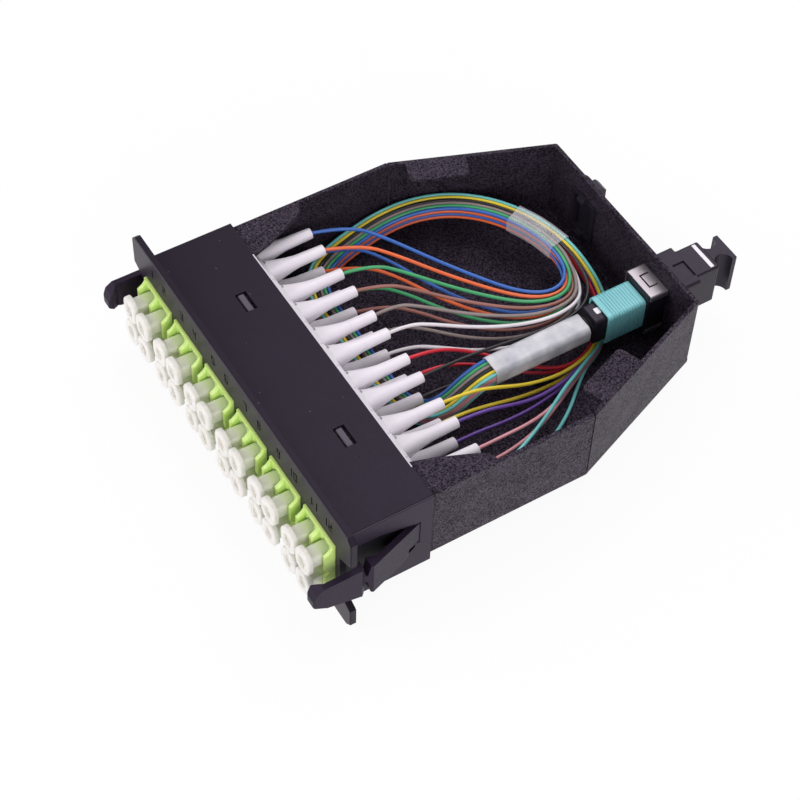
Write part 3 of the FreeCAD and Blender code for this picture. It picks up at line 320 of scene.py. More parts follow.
# Middle of the bundle: out of the fan-out, down to the floor, left under the boots, round
# the left wall and up into the clear sleeve.
BUNDLE: Route = ((0.0149, 0.0604, 0.012), (0.0149, 0.0566, 0.012), (0.0149, 0.052, 0.0096),
                 (0.0147, 0.0472, 0.0059), (0.0131, 0.0424, 0.0041), (0.0086, 0.0389, 0.00395),
                 (0.0026, 0.0382, 0.00395), (-0.007, 0.0382, 0.00395), (-0.017, 0.03835, 0.00395),
                 (-0.026, 0.0383, 0.00395), (-0.0326, 0.0394, 0.004), (-0.0372, 0.043, 0.0043),
                 (-0.0393, 0.0484, 0.0053), (-0.0399, 0.055, 0.0072), (-0.0398, 0.0625, 0.0094),
                 (-0.0384, 0.0705, 0.0109), (-0.0352, 0.0782, 0.0115), (-0.0304, 0.0846, 0.0115),
                 (-0.0242, 0.0894, 0.0115), (-0.0166, 0.0928, 0.0115), (-0.0086, 0.0944, 0.0115))
# Loops from the sleeve back to ports 1 to 6, innermost and outermost, in each row.
UPPER_INNER: Route = ((-0.0038, 0.0917, 0.0118), (0, 0.0896, 0.012), (0.002, 0.0858, 0.0123),
                      (0.0012, 0.0812, 0.0126), (-0.003, 0.0758, 0.0131), (-0.011, 0.0698, 0.0138),
                      (-0.02, 0.0638, 0.0145), (-0.0304, 0.0576, 0.0151), (-0.038, 0.0518, 0.0155))
UPPER_OUTER: Route = ((-0.0026, 0.0937, 0.0117), (0.0028, 0.092, 0.0119), (0.0072, 0.089, 0.0122),
                      (0.009, 0.0828, 0.0126), (0.0086, 0.0754, 0.0131), (0.0062, 0.0676, 0.0136),
                      (0.0026, 0.06, 0.0143), (-0.0018, 0.053, 0.015), (-0.0042, 0.048, 0.0155))
LOWER_INNER: Route = ((-0.0034, 0.0913, 0.0099), (0.0008, 0.0892, 0.0089), (0.0036, 0.0854, 0.0084),
                      (0.003, 0.0796, 0.0082), (-0.0006, 0.0732, 0.0084), (-0.0076, 0.067, 0.0089),
                      (-0.017, 0.0614, 0.0096), (-0.028, 0.0566, 0.0104), (-0.0366, 0.0512, 0.0099))
LOWER_OUTER: Route = ((-0.0024, 0.0937, 0.0097), (0.0036, 0.092, 0.0085), (0.0076, 0.0882, 0.0078),
                      (0.0092, 0.082, 0.0072), (0.0092, 0.0746, 0.0069), (0.0074, 0.067, 0.0069),
                      (0.004, 0.06, 0.0071), (-0.0006, 0.0536, 0.0075), (-0.0038, 0.0482, 0.0077))
LOOPS = {Row.UPPER: (UPPER_INNER, UPPER_OUTER), Row.LOWER: (LOWER_INNER, LOWER_OUTER)}
# Port 8 upper keeps to the left of the label tube.
PORT_8_LOOP: Route = ((-0.0022, 0.0949, 0.0123), (0.0044, 0.0936, 0.0119), (0.0084, 0.09, 0.011),
                      (0.0102, 0.084, 0.0109), (0.0106, 0.0768, 0.0114), (0.0104, 0.069, 0.0126),
                      (0.0103, 0.0616, 0.0138), (0.0104, 0.0546, 0.0149), (0.0106, 0.0484, 0.0155))
# The other fibres of ports 7 to 12 dive under the rear connector together, then part.
TRUNK: Route = ((-0.0028, 0.0964, 0.0102), (0.003, 0.097, 0.0072), (0.0084, 0.0958, 0.0049),
                (0.013, 0.0924, 0.0041), (0.0166, 0.0878, 0.0041), (0.0189, 0.0824, 0.0041))
TAILS: dict[tuple[Row, int], Route] = {
    (Row.UPPER, 7): ((0.0184, 0.0764, 0.0056), (0.0158, 0.0706, 0.0068), (0.0116, 0.0656, 0.0079),
                     (0.0076, 0.0606, 0.0096), (0.0052, 0.0546, 0.0122), (0.0045, 0.0484, 0.0148)),
    (Row.LOWER, 7): ((0.0182, 0.0766, 0.004), (0.0156, 0.0704, 0.0043), (0.0116, 0.0654, 0.0048),
                     (0.0076, 0.0602, 0.0056), (0.0052, 0.0544, 0.0068), (0.0044, 0.0482, 0.0077)),
    (Row.LOWER, 8): ((0.0192, 0.0762, 0.00295), (0.0178, 0.07, 0.0032), (0.0152, 0.0644, 0.0039),
                     (0.0124, 0.0586, 0.0052), (0.0109, 0.053, 0.0068), (0.0106, 0.0476, 0.0077)),
    (Row.UPPER, 9): ((0.0204, 0.0764, 0.0064), (0.021, 0.07, 0.008), (0.021, 0.0634, 0.0102),
                     (0.0202, 0.0566, 0.013), (0.0195, 0.0496, 0.0152)),
    (Row.LOWER, 9): ((0.0205, 0.0762, 0.0041), (0.021, 0.0694, 0.0048), (0.0208, 0.062, 0.0058),
                     (0.02, 0.0548, 0.0071), (0.0194, 0.0482, 0.0077)),
    (Row.UPPER, 10): ((0.0219, 0.0764, 0.0057), (0.024, 0.0702, 0.0076), (0.0256, 0.0636, 0.0099),
                      (0.0262, 0.0568, 0.0128), (0.0258, 0.0498, 0.0152)),
    (Row.LOWER, 10): ((0.0218, 0.076, 0.0031), (0.0236, 0.0694, 0.0042), (0.0252, 0.0622, 0.0056),
                      (0.026, 0.055, 0.0071), (0.0257, 0.0484, 0.0077)),
    (Row.UPPER, 11): ((0.023, 0.0766, 0.0058), (0.0268, 0.071, 0.0078), (0.0302, 0.0648, 0.0102),
                      (0.0328, 0.0578, 0.013), (0.0342, 0.0502, 0.0152)),
    (Row.LOWER, 11): ((0.0231, 0.0764, 0.0039), (0.0266, 0.0702, 0.0048), (0.0302, 0.0636, 0.0058),
                      (0.033, 0.0562, 0.0071), (0.0343, 0.0488, 0.0077)),
    (Row.UPPER, 12): ((0.0232, 0.0772, 0.0076), (0.0264, 0.072, 0.01), (0.0304, 0.0662, 0.0122),
                      (0.0346, 0.0598, 0.0142), (0.0382, 0.0532, 0.0154), (0.0404, 0.0476, 0.0155)),
    (Row.LOWER, 12): ((0.0242, 0.0774, 0.0031), (0.0288, 0.0724, 0.0044), (0.033, 0.0666, 0.0058),
                      (0.0368, 0.0602, 0.0071), (0.0396, 0.0536, 0.0077), (0.0406, 0.0478, 0.0077)),
}


# ------------------------------------------------------------------ finishes
@dataclass(frozen=True)
class Patch:
    """Part of a piece, inside a box, painted a tone of its own with a soft border; here mostly painted
    light and shade.
    """

    low: Point
    high: Point
    colour: Colour
    soft: float = 0.00003

    def both_sides(self) -> tuple["Patch", "Patch"]:
        """Pair the patch with its mirror image across the middle of the cassette.

        Returns:
            The patch and its mirror image.
        """
        low = (-self.high[0], *self.low[1:])
        high = (-self.low[0], *self.high[1:])
        return self, Patch(low, high, self.colour, self.soft)


@dataclass(frozen=True)
class MouldedPlastic:
    """Injection-moulded plastic with a fine skin and faint flow marks."""

    name: str
    colour: Colour
    shade: Colour
    roughness: float = 0.4
    grain: float = 0.0004
    depth: float = 0.00001
    edge: float = 0.00012
    milky: float = 0.0
    gloss: float = 0.5
    gloss_tint: Colour = (1.0, 1.0, 1.0)
    clear: float = 0.0
    specks: float = 0.0
    speck_colour: Colour = (0.10, 0.10, 0.11)
    patches: tuple[Patch, ...] = ()

    def material(self) -> bpy.types.Material:
        """Build the finish.

        Returns:
            The material.
        """
        sheet = ShaderSheet(self.name)
        flow = sheet.noise(0.012, 4.0)
        skin = sheet.noise(self.grain, 2.0)
        sheet.emboss(sheet.math("MULTIPLY_ADD", flow, 0.5, skin), self.depth, self.edge)
        if self.milky:
            sheet.surface(Subsurface_Weight=self.milky, Subsurface_Scale=0.0015,
                          Subsurface_Radius=(1.0, 1.0, 0.9))
        if self.clear:
            rim = sheet.node("ShaderNodeLayerWeight", Blend=0.4).outputs["Facing"]
            sheet.surface(Alpha=sheet.spread(rim, 1.0 - self.clear, 1.0, 0.1, 0.9))
        colour = sheet.ramp(flow, ((0.3, self.shade), (0.7, self.colour)))
        if self.specks:
            grain = sheet.cells(self.specks)
            share = sheet.spread(grain, 0.5, 0.0, 0.03, 0.06)
            colour = sheet.mix(share, colour, self.speck_colour)
        for patch in self.patches:
            colour = sheet.mix(sheet.inside(patch), colour, patch.colour)
        return sheet.surface(
            Base_Color=colour,
            Roughness=sheet.spread(skin, self.roughness - 0.04, self.roughness + 0.06),
            Specular_IOR_Level=self.gloss, Specular_Tint=(*self.gloss_tint, 1.0))


@dataclass(frozen=True)
class PowderCoat:
    """Black crinkle powder coat: fine winding wrinkles, their crowns painted lighter as a painted
    highlight.
    """

    name: str = "crinkle powder coat"
    colour: Colour = (0.0062, 0.0045, 0.0078)
    # Tone of the wrinkle crowns: a painted highlight.
    crown_highlight: Colour = (0.058, 0.044, 0.067)
    gloss_tint: Colour = (0.88, 0.76, 1.0)
    lump: float = 0.00043
    depth: float = 0.00060
    # Everything above 23.92 mm, the tops of the walls and the hooks, is smooth and paler.
    pale_top: Patch = Patch((-0.06, -0.01, 0.02392), (0.06, 0.13, 0.03), (0.105, 0.093, 0.116))
    # Near-black bands where the tray's walls meet the housing: painted shadow of the joint.
    gap_shadows: tuple[Patch, ...] = Patch((0.0435, 0.0230, -0.0010), (0.0460, 0.0245, 0.0239),
                                    (0.0012, 0.0010, 0.0014)).both_sides()

    def material(self) -> bpy.types.Material:
        """Build the finish.

        Returns:
            The material.
        """
        sheet = ShaderSheet(self.name)
        lumps = sheet.noise(self.lump, 2.0, 0.5, twist=0.8)
        drift = sheet.noise(self.lump * 12, 3.0)
        pale_top = sheet.inside(self.pale_top)
        coat = sheet.math("MULTIPLY_ADD", drift, 0.15, lumps)
        height = sheet.math("MULTIPLY", coat, sheet.math("SUBTRACT", 1.0, pale_top))
        sheet.emboss(height, self.depth, 0.0003)
        colour = sheet.ramp(height, ((0.46, self.colour), (0.78, self.crown_highlight)))
        colour = sheet.mix(pale_top, colour, self.pale_top.colour)
        for gap_shadow in self.gap_shadows:
            colour = sheet.mix(sheet.inside(gap_shadow), colour, gap_shadow.colour)
        return sheet.surface(
            Base_Color=colour,
            Roughness=sheet.spread(lumps, 0.38, 0.56), Specular_Tint=(*self.gloss_tint, 1.0),
            Specular_IOR_Level=sheet.spread(height, 0.08, 0.85, 0.46, 0.80))


@dataclass(frozen=True)
class SprungSteel:
    """Thin bright spring steel with rolling lines."""

    name: str = "sprung steel"
    colour: Colour = (0.40, 0.372, 0.39)
    shade: Colour = (0.34, 0.315, 0.33)

    def material(self) -> bpy.types.Material:
        """Build the finish.

        Returns:
            The material.
        """
        sheet = ShaderSheet(self.name)
        stretch = sheet.node("ShaderNodeMapping", Vector=sheet.place, Scale=(1.0, 0.06, 1.0))
        lines = sheet.noise(0.0003, 3.0, 0.6, stretch.outputs["Vector"])
        sheet.emboss(lines, 0.000004, 0.00008)
        return sheet.surface(
            Base_Color=sheet.ramp(lines, ((0.3, self.shade), (0.7, self.colour))),
            Metallic=0.9, Roughness=sheet.spread(lines, 0.36, 0.44))


@dataclass(frozen=True)
class Film:
    """Thin see-through plastic, denser where it is seen edge on."""

    name: str
    colour: Colour
    thin: float
    dense: float
    roughness: float = 0.18
    pale: Colour = (0.80, 0.81, 0.83)

    def material(self) -> bpy.types.Material:
        """Build the finish.

        Returns:
            The material.
        """
        sheet = ShaderSheet(self.name)
        ripple = sheet.noise(0.004, 3.0)
        sheet.emboss(ripple, 0.0003)
        rim = sheet.node("ShaderNodeLayerWeight", Blend=0.35).outputs["Facing"]
        cloud = sheet.math("MULTIPLY_ADD", ripple, 0.25, rim)
        return sheet.surface(
            Base_Color=sheet.ramp(ripple, ((0.3, self.colour), (0.7, self.pale))),
            Roughness=self.roughness,
            Alpha=sheet.spread(cloud, self.thin, self.dense, 0.1, 0.9))


@dataclass(frozen=True)
class FibreJacket:
    """Tight plastic jacket of one fibre."""

    name: str
    colour: Colour
    shade: float = 0.82

    def material(self) -> bpy.types.Material:
        """Build the finish.

        Returns:
            The material.
        """
        sheet = ShaderSheet("fibre jacket " + self.name)
        tone = sheet.noise(0.009, 3.0)
        skin = sheet.noise(0.0005, 2.0)
        sheet.emboss(skin, 0.000008)
        dark = tuple(self.shade * c for c in self.colour)
        return sheet.surface(Base_Color=sheet.ramp(tone, ((0.3, dark), (0.7, self.colour))),
                             Roughness=sheet.spread(skin, 0.30, 0.42))


@dataclass(frozen=True)
class Paint:
    """Printed or painted patch with slightly worn cover."""

    name: str
    colour: Colour
    worn: Colour

    def material(self) -> bpy.types.Material:
        """Build the finish.

        Returns:
            The material.
        """
        sheet = ShaderSheet(self.name)
        cover = sheet.noise(0.0006, 4.0, 0.7)
        sheet.emboss(cover, 0.000006)
        return sheet.surface(Base_Color=sheet.ramp(cover, ((0.25, self.worn), (0.45, self.colour))),
                             Roughness=sheet.spread(cover, 0.45, 0.6))


JACKETS: tuple[FibreJacket, ...] = (
    FibreJacket("blue", chip(52, 104, 186)), FibreJacket("orange", chip(234, 108, 58)),
    FibreJacket("green", chip(62, 164, 104)), FibreJacket("brown", chip(150, 98, 88)),
    FibreJacket("slate", chip(138, 126, 122)), FibreJacket("white", chip(232, 228, 232)),
    FibreJacket("red", chip(214, 42, 58)), FibreJacket("black", chip(26, 24, 28)),
    FibreJacket("yellow", chip(232, 208, 52)), FibreJacket("violet", chip(104, 70, 158)),
    FibreJacket("rose", chip(232, 160, 168)), FibreJacket("aqua", chip(112, 200, 198)))


# ------------------------------------------------------------------ pieces
def dress(material: bpy.types.Material, *nodes: str) -> None:
    """Give CAD nodes a finish.

    Args:
        material: The finish.
        *nodes: Names of the nodes.
    """
    for name in nodes:
        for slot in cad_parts[name].material_slots:
            slot.material = material
        LOG.info("%s: %s", name, material.name)


# Places on the housing painted a tone of their own; those at the side are mirrored to the left. A pale
# line runs along the rear edge; the rest are painted light and shade: near-black figure floors, a lighter
# front face and side faces, a darker latch recess and pale edge highlights.
# Tone of the painted highlights along the housing's top edges.
EDGE_HIGHLIGHT: Colour = (0.075, 0.068, 0.082)
# A pale line along the rear edge of the top plate.
REAR_EDGE = Patch((-0.0342, 0.02312, 0.0244), (0.0368, 0.0300, 0.0300), (0.62, 0.60, 0.66))
# The floors of the moulded port figures are painted near-black: painted shade in the recesses.
FIGURE_FLOOR_SHADE = Patch((-0.0600, 0.00006, 0.0220), (0.0600, 0.00034, 0.0300), (0.001, 0.001, 0.001))
# The flange's front face is painted lighter than the moulding: painted light on that face.
FRONT_FACE_PAINTED_LIGHT = Patch((-0.0510, -0.0005, -0.0045), (0.0510, 0.00006, 0.0300), (0.030, 0.025, 0.036))
# The outer side faces are painted lighter: painted sheen where they catch the light.
SIDE_FACE_PAINTED_LIGHT = Patch((0.04564, 0.0016, -0.0010), (0.0460, 0.0240, 0.0246), (0.021, 0.0155, 0.027))
# The recess behind each latch is painted darker: painted shade.
LATCH_RECESS_SHADE = Patch((0.0436, 0.0020, 0.0050), (0.0447, 0.0190, 0.0206), (0.008, 0.007, 0.010))
# Painted highlights along the top edges of the side faces and of the flange.
SIDE_EDGE_HIGHLIGHT = Patch((0.04550, 0.0016, 0.02460), (0.0460, 0.0234, 0.0250), EDGE_HIGHLIGHT)
FLANGE_EDGE_HIGHLIGHT = Patch((-0.0510, -0.0002, 0.02945), (0.0510, 0.00018, 0.0300), EDGE_HIGHLIGHT)


@dataclass
class Housing:
    """Front housing with its two latches."""

    finish: MouldedPlastic = MouldedPlastic(
        "satin black moulding", (0.0108, 0.0080, 0.0148), (0.0086, 0.0066, 0.0120), 0.38, 0.0005,
        0.000012, gloss=0.17, gloss_tint=(0.90, 0.76, 1.0), specks=0.0045,
        patches=(REAR_EDGE, FIGURE_FLOOR_SHADE, FRONT_FACE_PAINTED_LIGHT, *SIDE_FACE_PAINTED_LIGHT.both_sides(),
                 *LATCH_RECESS_SHADE.both_sides(), *SIDE_EDGE_HIGHLIGHT.both_sides(), FLANGE_EDGE_HIGHLIGHT))
    # The latches take the housing's black painted lighter: painted sheen on the latches.
    latch_finish_painted_light: MouldedPlastic = MouldedPlastic(
        "satin black latch moulding", (0.0205, 0.0132, 0.0270), (0.0172, 0.0110, 0.0228), 0.40,
        0.0005, 0.000012, gloss=0.14, gloss_tint=(0.90, 0.76, 1.0))

    def build(self) -> None:
        """Dress the housing and the latches."""
        dress(self.finish.material(), "front_housing")
        dress(self.latch_finish_painted_light.material(), "left_latch", "right_latch")


@dataclass
class Ports:
    """Adapters, dust caps, plugs and boots."""

    count: int = 6
    adapter: MouldedPlastic = MouldedPlastic("lime moulding", chip(214, 244, 146),
                                             chip(200, 236, 124), 0.32, milky=0.35)
    cap: MouldedPlastic = MouldedPlastic("milky soft plastic", chip(245, 243, 236),
                                         chip(238, 237, 228), 0.38, milky=0.60, clear=0.20,
                                         # Towards the adapter the caps are painted green: painted light of
                                         # the lime adapter showing through them.
                                         patches=(Patch((-0.06, -0.0026, -0.01), (0.06, 0.02, 0.04),
                                                        chip(222, 236, 184), 0.0012),))
    plug: MouldedPlastic = MouldedPlastic("beige moulding", chip(196, 178, 152),
                                          chip(176, 156, 130), 0.42)
    boot: MouldedPlastic = MouldedPlastic("soft white plastic", chip(236, 232, 238),
                                          chip(226, 221, 228), 0.45, milky=0.10)

    def build(self) -> None:
        """Dress every port."""
        numbers = range(1, self.count + 1)
        dress(self.adapter.material(), *("lc_adapter_%d" % i for i in numbers))
        dress(self.cap.material(), *("dust_caps_%d" % i for i in numbers))
        dress(self.plug.material(), "lc_plugs_upper", "lc_plugs_lower")
        dress(self.boot.material(), "lc_boots_upper", "lc_boots_lower")


@dataclass
class Tray:
    """Folded tray."""

    finish: PowderCoat = PowderCoat()

    def build(self) -> None:
        """Dress the tray."""
        dress(self.finish.material(), "tray")


@dataclass
class RearConnector:
    """Everything on the rear wall, with the plug inside it."""

    black: MouldedPlastic = MouldedPlastic("black connector moulding", (0.0170, 0.0148, 0.0225),
                                           (0.0125, 0.0108, 0.0165), 0.38, gloss=0.25,
                                           gloss_tint=(0.92, 0.82, 1.0))
    aqua: MouldedPlastic = MouldedPlastic("aqua moulding", chip(129, 201, 204),
                                          chip(109, 185, 191), 0.40, milky=0.05)
    rubber: MouldedPlastic = MouldedPlastic("black soft plastic", (0.016, 0.015, 0.017),
                                            (0.011, 0.010, 0.012), 0.55, gloss=0.3)
    steel: SprungSteel = SprungSteel()
    label: Film = Film("label tube film", (0.50, 0.52, 0.58), 0.50, 0.85, 0.22)
    core: MouldedPlastic = MouldedPlastic("grey fan-out body", chip(190, 196, 198),
                                          chip(170, 178, 182), 0.5)
    white: Paint = Paint("white marking", chip(232, 230, 235), chip(190, 188, 194))
    stripe_size: tuple[float, float] = (0.0080, 0.0010)
    stripe_inset: float = 0.0073        # from the cap's rear end to the stripe's middle
    mark_size: tuple[float, float] = (0.0018, 0.0013)
    mark_y: float = 0.0882
    paint_thickness: float = 0.00004
    paint_round: float = 0.18           # corner radius as a share of the bar's shorter side
    corner_steps: int = 3

    def painted_bar(self, name: str, centre: Vector, size: tuple[float, float],
                    body: str) -> bpy.types.Object:
        """Lay a thin painted bar with rounded corners on a level face.

        Args:
            name: Name of the piece.
            centre: Middle of the bar, on the face.
            size: Width along X and length along Y.
            body: Body that it rides on.

        Returns:
            The piece.
        """
        mesh = bmesh.new()
        half_w, half_l = size[0] / 2, size[1] / 2
        r = min(size) * self.paint_round
        ring = []
        for sx, sy, start in ((1, 1, 0), (-1, 1, 90), (-1, -1, 180), (1, -1, 270)):
            for step in range(self.corner_steps + 1):
                a = math.radians(start + step * 90 / self.corner_steps)
                ring.append(mesh.verts.new((centre.x + sx * (half_w - r) + r * math.cos(a),
                                            centre.y + sy * (half_l - r) + r * math.sin(a),
                                            centre.z)))
        top = mesh.faces.new(ring)
        grown = bmesh.ops.extrude_face_region(mesh, geom=[top])
        moved = [v for v in grown["geom"] if isinstance(v, bmesh.types.BMVert)]
        bmesh.ops.translate(mesh, verts=moved, vec=(0, 0, self.paint_thickness))
        bmesh.ops.recalc_face_normals(mesh, faces=mesh.faces)
        data = bpy.data.meshes.new(name)
        mesh.to_mesh(data)
        mesh.free()
        piece = bpy.data.objects.new(name, data)
        bpy.context.scene.collection.objects.link(piece)
        data.materials.append(self.white.material())
        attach(piece, body)
        LOG.info("%s: painted bar %.1f by %.1f mm", name, 1000 * size[0], 1000 * size[1])
        return piece

    def build(self) -> None:
        """Dress the connector and add its painted marks."""
        black = self.black.material()
        dress(black, "mpo_adapter", "mpo_dust_cap", "port_blank", "mpo_plug")
        dress(self.aqua.material(), "mpo_coupling_sleeve")
        dress(self.rubber.material(), "mpo_boot")
        dress(self.steel.material(), "mpo_clip")
        dress(self.label.material(), "label_tube")
        dress(self.core.material(), "fanout_body")
        low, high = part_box("mpo_dust_cap")
        middle = (low.x + high.x) / 2
        self.painted_bar("cap_stripe", Vector((middle, high.y - self.stripe_inset, high.z)),
                         self.stripe_size, "cassette")
        _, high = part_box("mpo_plug")
        self.painted_bar("plug_mark", Vector((middle, self.mark_y, high.z)), self.mark_size,
                         "cassette")


@dataclass
class Harness:
    """The 24 fibres and the clear sleeve round their bundle."""

    diameter: float = 0.0009
    lane: float = 0.00095
    trunk_shift: float = 1.5            # lanes that the trunk moves to the right of its run
    layers: int = 4
    pairs: int = 6
    settle: tuple[float, ...] = (1.0, 0.8, 0.5, 0.2)
    layer: dict[Row, tuple[int, ...]] = field(default_factory=lambda: {
        Row.UPPER: (3, 2, 3, 2, 3, 2, 2, 3, 3, 2, 2, 3), Row.LOWER: (1, 0) * 6})
    film: Film = Film("clear sleeve film", (0.80, 0.78, 0.83), 0.04, 0.55, 0.12)

    def lane_points(self, points: Route, across: float, up: float, before: Point | None = None,
                    after: Point | None = None) -> list[Vector]:
        """Shift a shared route sideways and upwards, for one fibre of the bundle.

        Args:
            points: The shared route.
            across: Shift to the side.
            up: Shift upwards.
            before: Point ahead of the first, where the route goes on.
            after: Point past the last, where the route goes on.

        Returns:
            The fibre's own points.
        """
        route = [Vector(p) for p in points]
        chain = [Vector(before) if before else None, *route, Vector(after) if after else None]
        out = []
        for back, p, ahead in zip(chain, route, chain[2:]):
            runs = [run.normalized() for run in (p - back if back else None,
                                                 ahead - p if ahead else None) if run]
            sides = [Vector((0, 0, 1)).cross(run).normalized() for run in (runs[0], runs[-1])]
            tops = [runs[0].cross(sides[0]), runs[-1].cross(sides[1])]
            side = (sides[0] + sides[1]) / (1 + sides[0].dot(sides[1]))
            top = (tops[0] + tops[1]) / (1 + tops[0].dot(tops[1]))
            out.append(p + side * across + top * up)
        return out

    def boot_end(self, row: Row, port: int) -> Vector:
        """Middle of the open end of a port's boot.

        Args:
            row: The row.
            port: Port number, from 1.

        Returns:
            The point.
        """
        low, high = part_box("lc_boots_" + row.name.lower())
        half = (high.z - low.z) / 2
        first, last = low.x + half, high.x - half
        pitch = (last - first - LC_PITCH) / (self.pairs - 1)
        pair, second = divmod(port - 1, 2)
        return Vector((first + pair * pitch + second * LC_PITCH, high.y, low.z + half))

    def points(self, row: Row, port: int) -> list[Vector]:
        """Points of one fibre, from the fan-out to the end of its boot.

        Args:
            row: The row.
            port: Port number, from 1.

        Returns:
            The points.
        """
        across = ((port - 1) // 2 - (self.pairs - 1) / 2) * self.lane
        up = (self.layer[row][port - 1] - (self.layers - 1) / 2) * self.lane
        end = [self.boot_end(row, port)]
        if (row, port) in TAILS:
            tail = TAILS[row, port]
            trunk = self.lane_points(TRUNK, across - self.trunk_shift * self.lane, up, BUNDLE[-1], tail[0])
            return (self.lane_points(BUNDLE, across, up, after=TRUNK[0]) + trunk
                    + [Vector(p) for p in tail] + end)
        if port <= self.pairs:
            inner, outer = LOOPS[row]
            share = (port - 1) / (self.pairs - 1)
            loop = [Vector(p).lerp(Vector(q), share) for p, q in zip(inner, outer)]
        else:
            loop = [Vector(p) for p in PORT_8_LOOP]
        start = self.lane_points(BUNDLE, across, up, after=tuple(loop[0]))
        rise = up - row.value * self.lane
        for i, part in enumerate(self.settle):
            loop[i] = loop[i] + Vector((0, 0, rise * part))
        return start + loop + end

    def strand(self, row: Row, port: int, material: bpy.types.Material) -> bpy.types.Object:
        """Build one fibre as a smooth curve.

        Args:
            row: The row.
            port: Port number, from 1.
            material: Its jacket.

        Returns:
            The piece.
        """
        node = "fibre_%s_%d" % (row.name.lower(), port)
        points = self.points(row, port)
        data = bpy.data.curves.new(node + "_strand", "CURVE")
        data.dimensions = "3D"
        data.bevel_depth = self.diameter / 2
        data.bevel_resolution = 2
        data.resolution_u = 6
        data.use_fill_caps = True
        spline = data.splines.new("NURBS")
        spline.points.add(len(points) - 1)
        for knot, p in zip(spline.points, points):
            knot.co = (*p, 1.0)
        spline.order_u = 3
        spline.use_endpoint_u = True
        data.materials.append(material)
        piece = bpy.data.objects.new(node + "_strand", data)
        bpy.context.scene.collection.objects.link(piece)
        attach(piece, "cassette")
        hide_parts(node)
        return piece

    def build(self) -> None:
        """Build all the fibres and dress the clear sleeve."""
        jackets = [jacket.material() for jacket in JACKETS]
        for row in Row:
            for port in range(1, 2 * self.pairs + 1):
                self.strand(row, port, jackets[port - 1])
        dress(self.film.material(), "loop_sleeve")


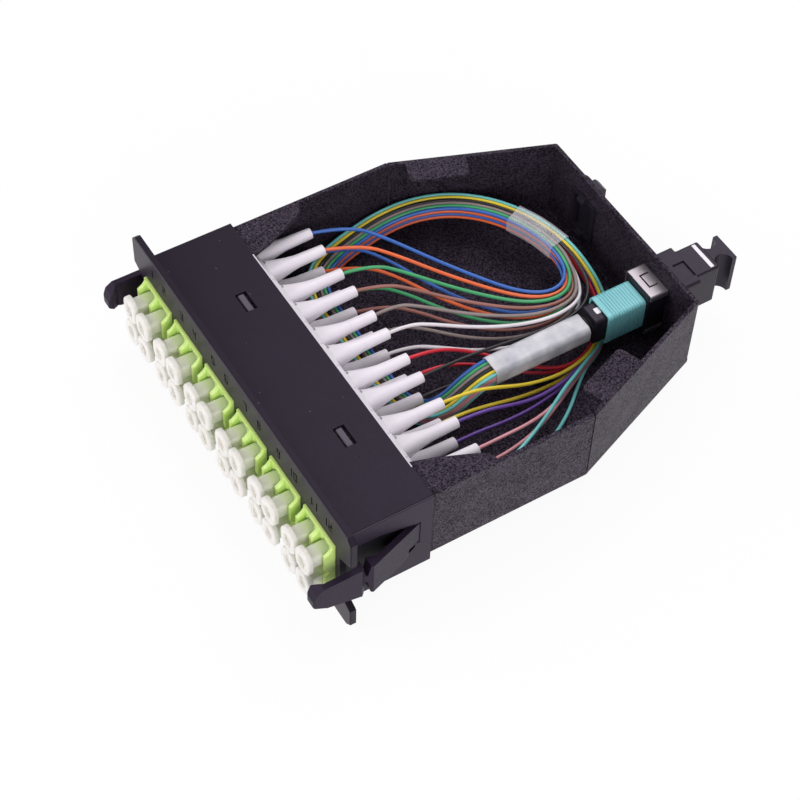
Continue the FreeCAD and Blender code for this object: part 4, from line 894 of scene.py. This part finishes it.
# ------------------------------------------------------------------ studio
@dataclass
class Studio:
    """Pale floor, soft lights and camera."""

    floor_size: float = 1.6
    floor_drop: float = 0.0002
    floor_colour: Colour = (0.86, 0.86, 0.86)
    floor_glow: float = 0.93            # share of plain white where the floor is seen directly
    sky: float = 0.40
    camera_at: Point = (0.2577, -0.1252, 0.3910)
    camera_along: Point = (-0.513, 0.336, -0.790)
    camera_right: Point = (0.520, 0.854, 0.025)
    lens: float = 94.14
    lights: tuple[tuple[str, Point, float, float], ...] = (
        ("key light", (-0.25, 0.45, 0.75), 0.70, 4.4),
        ("fill light", (0.75, -0.15, 0.35), 0.60, 4.2),
        ("front light", (-0.35, -0.55, 0.45), 0.50, 2.8))
    lamp_tint: Colour = (1.0, 0.945, 1.0)

    def floor(self) -> None:
        """Lay the floor; it shows pale to the eye and keeps the soft shadow."""
        mesh = bmesh.new()
        bmesh.ops.create_grid(mesh, x_segments=2, y_segments=2, size=self.floor_size / 2)
        data = bpy.data.meshes.new("studio floor")
        mesh.to_mesh(data)
        mesh.free()
        floor = bpy.data.objects.new("studio_floor", data)
        bpy.context.scene.collection.objects.link(floor)
        low, _ = CAD_BOX
        floor.location = (MIDDLE[0], MIDDLE[1], low.z - self.floor_drop)
        sheet = ShaderSheet("pale floor")
        sheet.surface(Base_Color=(*self.floor_colour, 1.0), Roughness=0.9)
        glow = sheet.node("ShaderNodeEmission", Color=(1.0, 1.0, 1.0, 1.0), Strength=1.0)
        seen = self.seen_directly(sheet)
        mix = sheet.node("ShaderNodeMixShader", Fac=sheet.math("MULTIPLY", seen, self.floor_glow))
        sheet.tree.links.new(sheet.shader.outputs[0], mix.inputs[1])
        sheet.tree.links.new(glow.outputs[0], mix.inputs[2])
        out = sheet.tree.nodes["Material Output"]
        sheet.tree.links.new(mix.outputs[0], out.inputs["Surface"])
        data.materials.append(sheet.material)

    def seen_directly(self, sheet: ShaderSheet) -> bpy.types.NodeSocket:
        """Value that is 1 to the eye, in reflections and through film.

        Args:
            sheet: Material that it is for.

        Returns:
            The value.
        """
        path = sheet.node("ShaderNodeLightPath").outputs
        first = sheet.math("MAXIMUM", path["Is Camera Ray"], path["Is Glossy Ray"])
        return sheet.math("MAXIMUM", first, path["Is Transmission Ray"])

    def world(self) -> None:
        """White surround: plain to the eye, softer as a light."""
        world = bpy.data.worlds.new("studio")
        bpy.context.scene.world = world
        world.use_nodes = True
        tree = world.node_tree
        back = tree.nodes["Background"]
        back.inputs["Color"].default_value = (1.0, 1.0, 1.0, 1.0)
        path = tree.nodes.new("ShaderNodeLightPath").outputs
        either = tree.nodes.new("ShaderNodeMath")
        either.operation = "MAXIMUM"
        tree.links.new(path["Is Camera Ray"], either.inputs[0])
        tree.links.new(path["Is Transmission Ray"], either.inputs[1])
        level = tree.nodes.new("ShaderNodeMapRange")
        level.inputs["To Min"].default_value = self.sky
        level.inputs["To Max"].default_value = 1.0
        tree.links.new(either.outputs[0], level.inputs["Value"])
        tree.links.new(level.outputs["Result"], back.inputs["Strength"])

    def light(self, name: str, at: Point, size: float, power: float) -> None:
        """Hang one soft light, facing the tray.

        Args:
            name: Name of the light.
            at: Where it hangs.
            size: Side of its square.
            power: Its power in watts.
        """
        data = bpy.data.lights.new(name, "AREA")
        data.shape = "SQUARE"
        data.size = size
        data.energy = power
        data.color = self.lamp_tint
        lamp = bpy.data.objects.new(name, data)
        bpy.context.scene.collection.objects.link(lamp)
        lamp.location = at
        towards = Vector(MIDDLE) - Vector(at)
        lamp.rotation_euler = towards.to_track_quat("-Z", "Y").to_euler()

    def camera(self) -> None:
        """Stand the camera above the front right corner."""
        data = bpy.data.cameras.new("camera")
        data.sensor_width = 36.0
        data.lens = self.lens
        data.clip_start, data.clip_end = 0.01, 10.0
        camera = bpy.data.objects.new("camera", data)
        bpy.context.scene.collection.objects.link(camera)
        back = -Vector(self.camera_along).normalized()
        right = Vector(self.camera_right)
        right = (right - back * right.dot(back)).normalized()
        up = back.cross(right)
        turn = Matrix((right, up, back)).transposed().to_4x4()
        camera.matrix_world = Matrix.Translation(self.camera_at) @ turn
        bpy.context.scene.camera = camera

    def build(self) -> None:
        """Build the studio."""
        self.floor()
        self.world()
        for name, at, size, power in self.lights:
            self.light(name, at, size, power)
        self.camera()
        bpy.context.scene.view_settings.view_transform = "Standard"


def main() -> None:
    """Build the cassette in order, then the studio."""
    logging.basicConfig(level=logging.INFO, format="%(name)s: %(message)s")
    for part in (Housing(), Ports(), Tray(), RearConnector(), Harness(), Studio()):
        part.build()
        LOG.info("%s built", type(part).__name__)


if __name__ == "__main__":
    main()
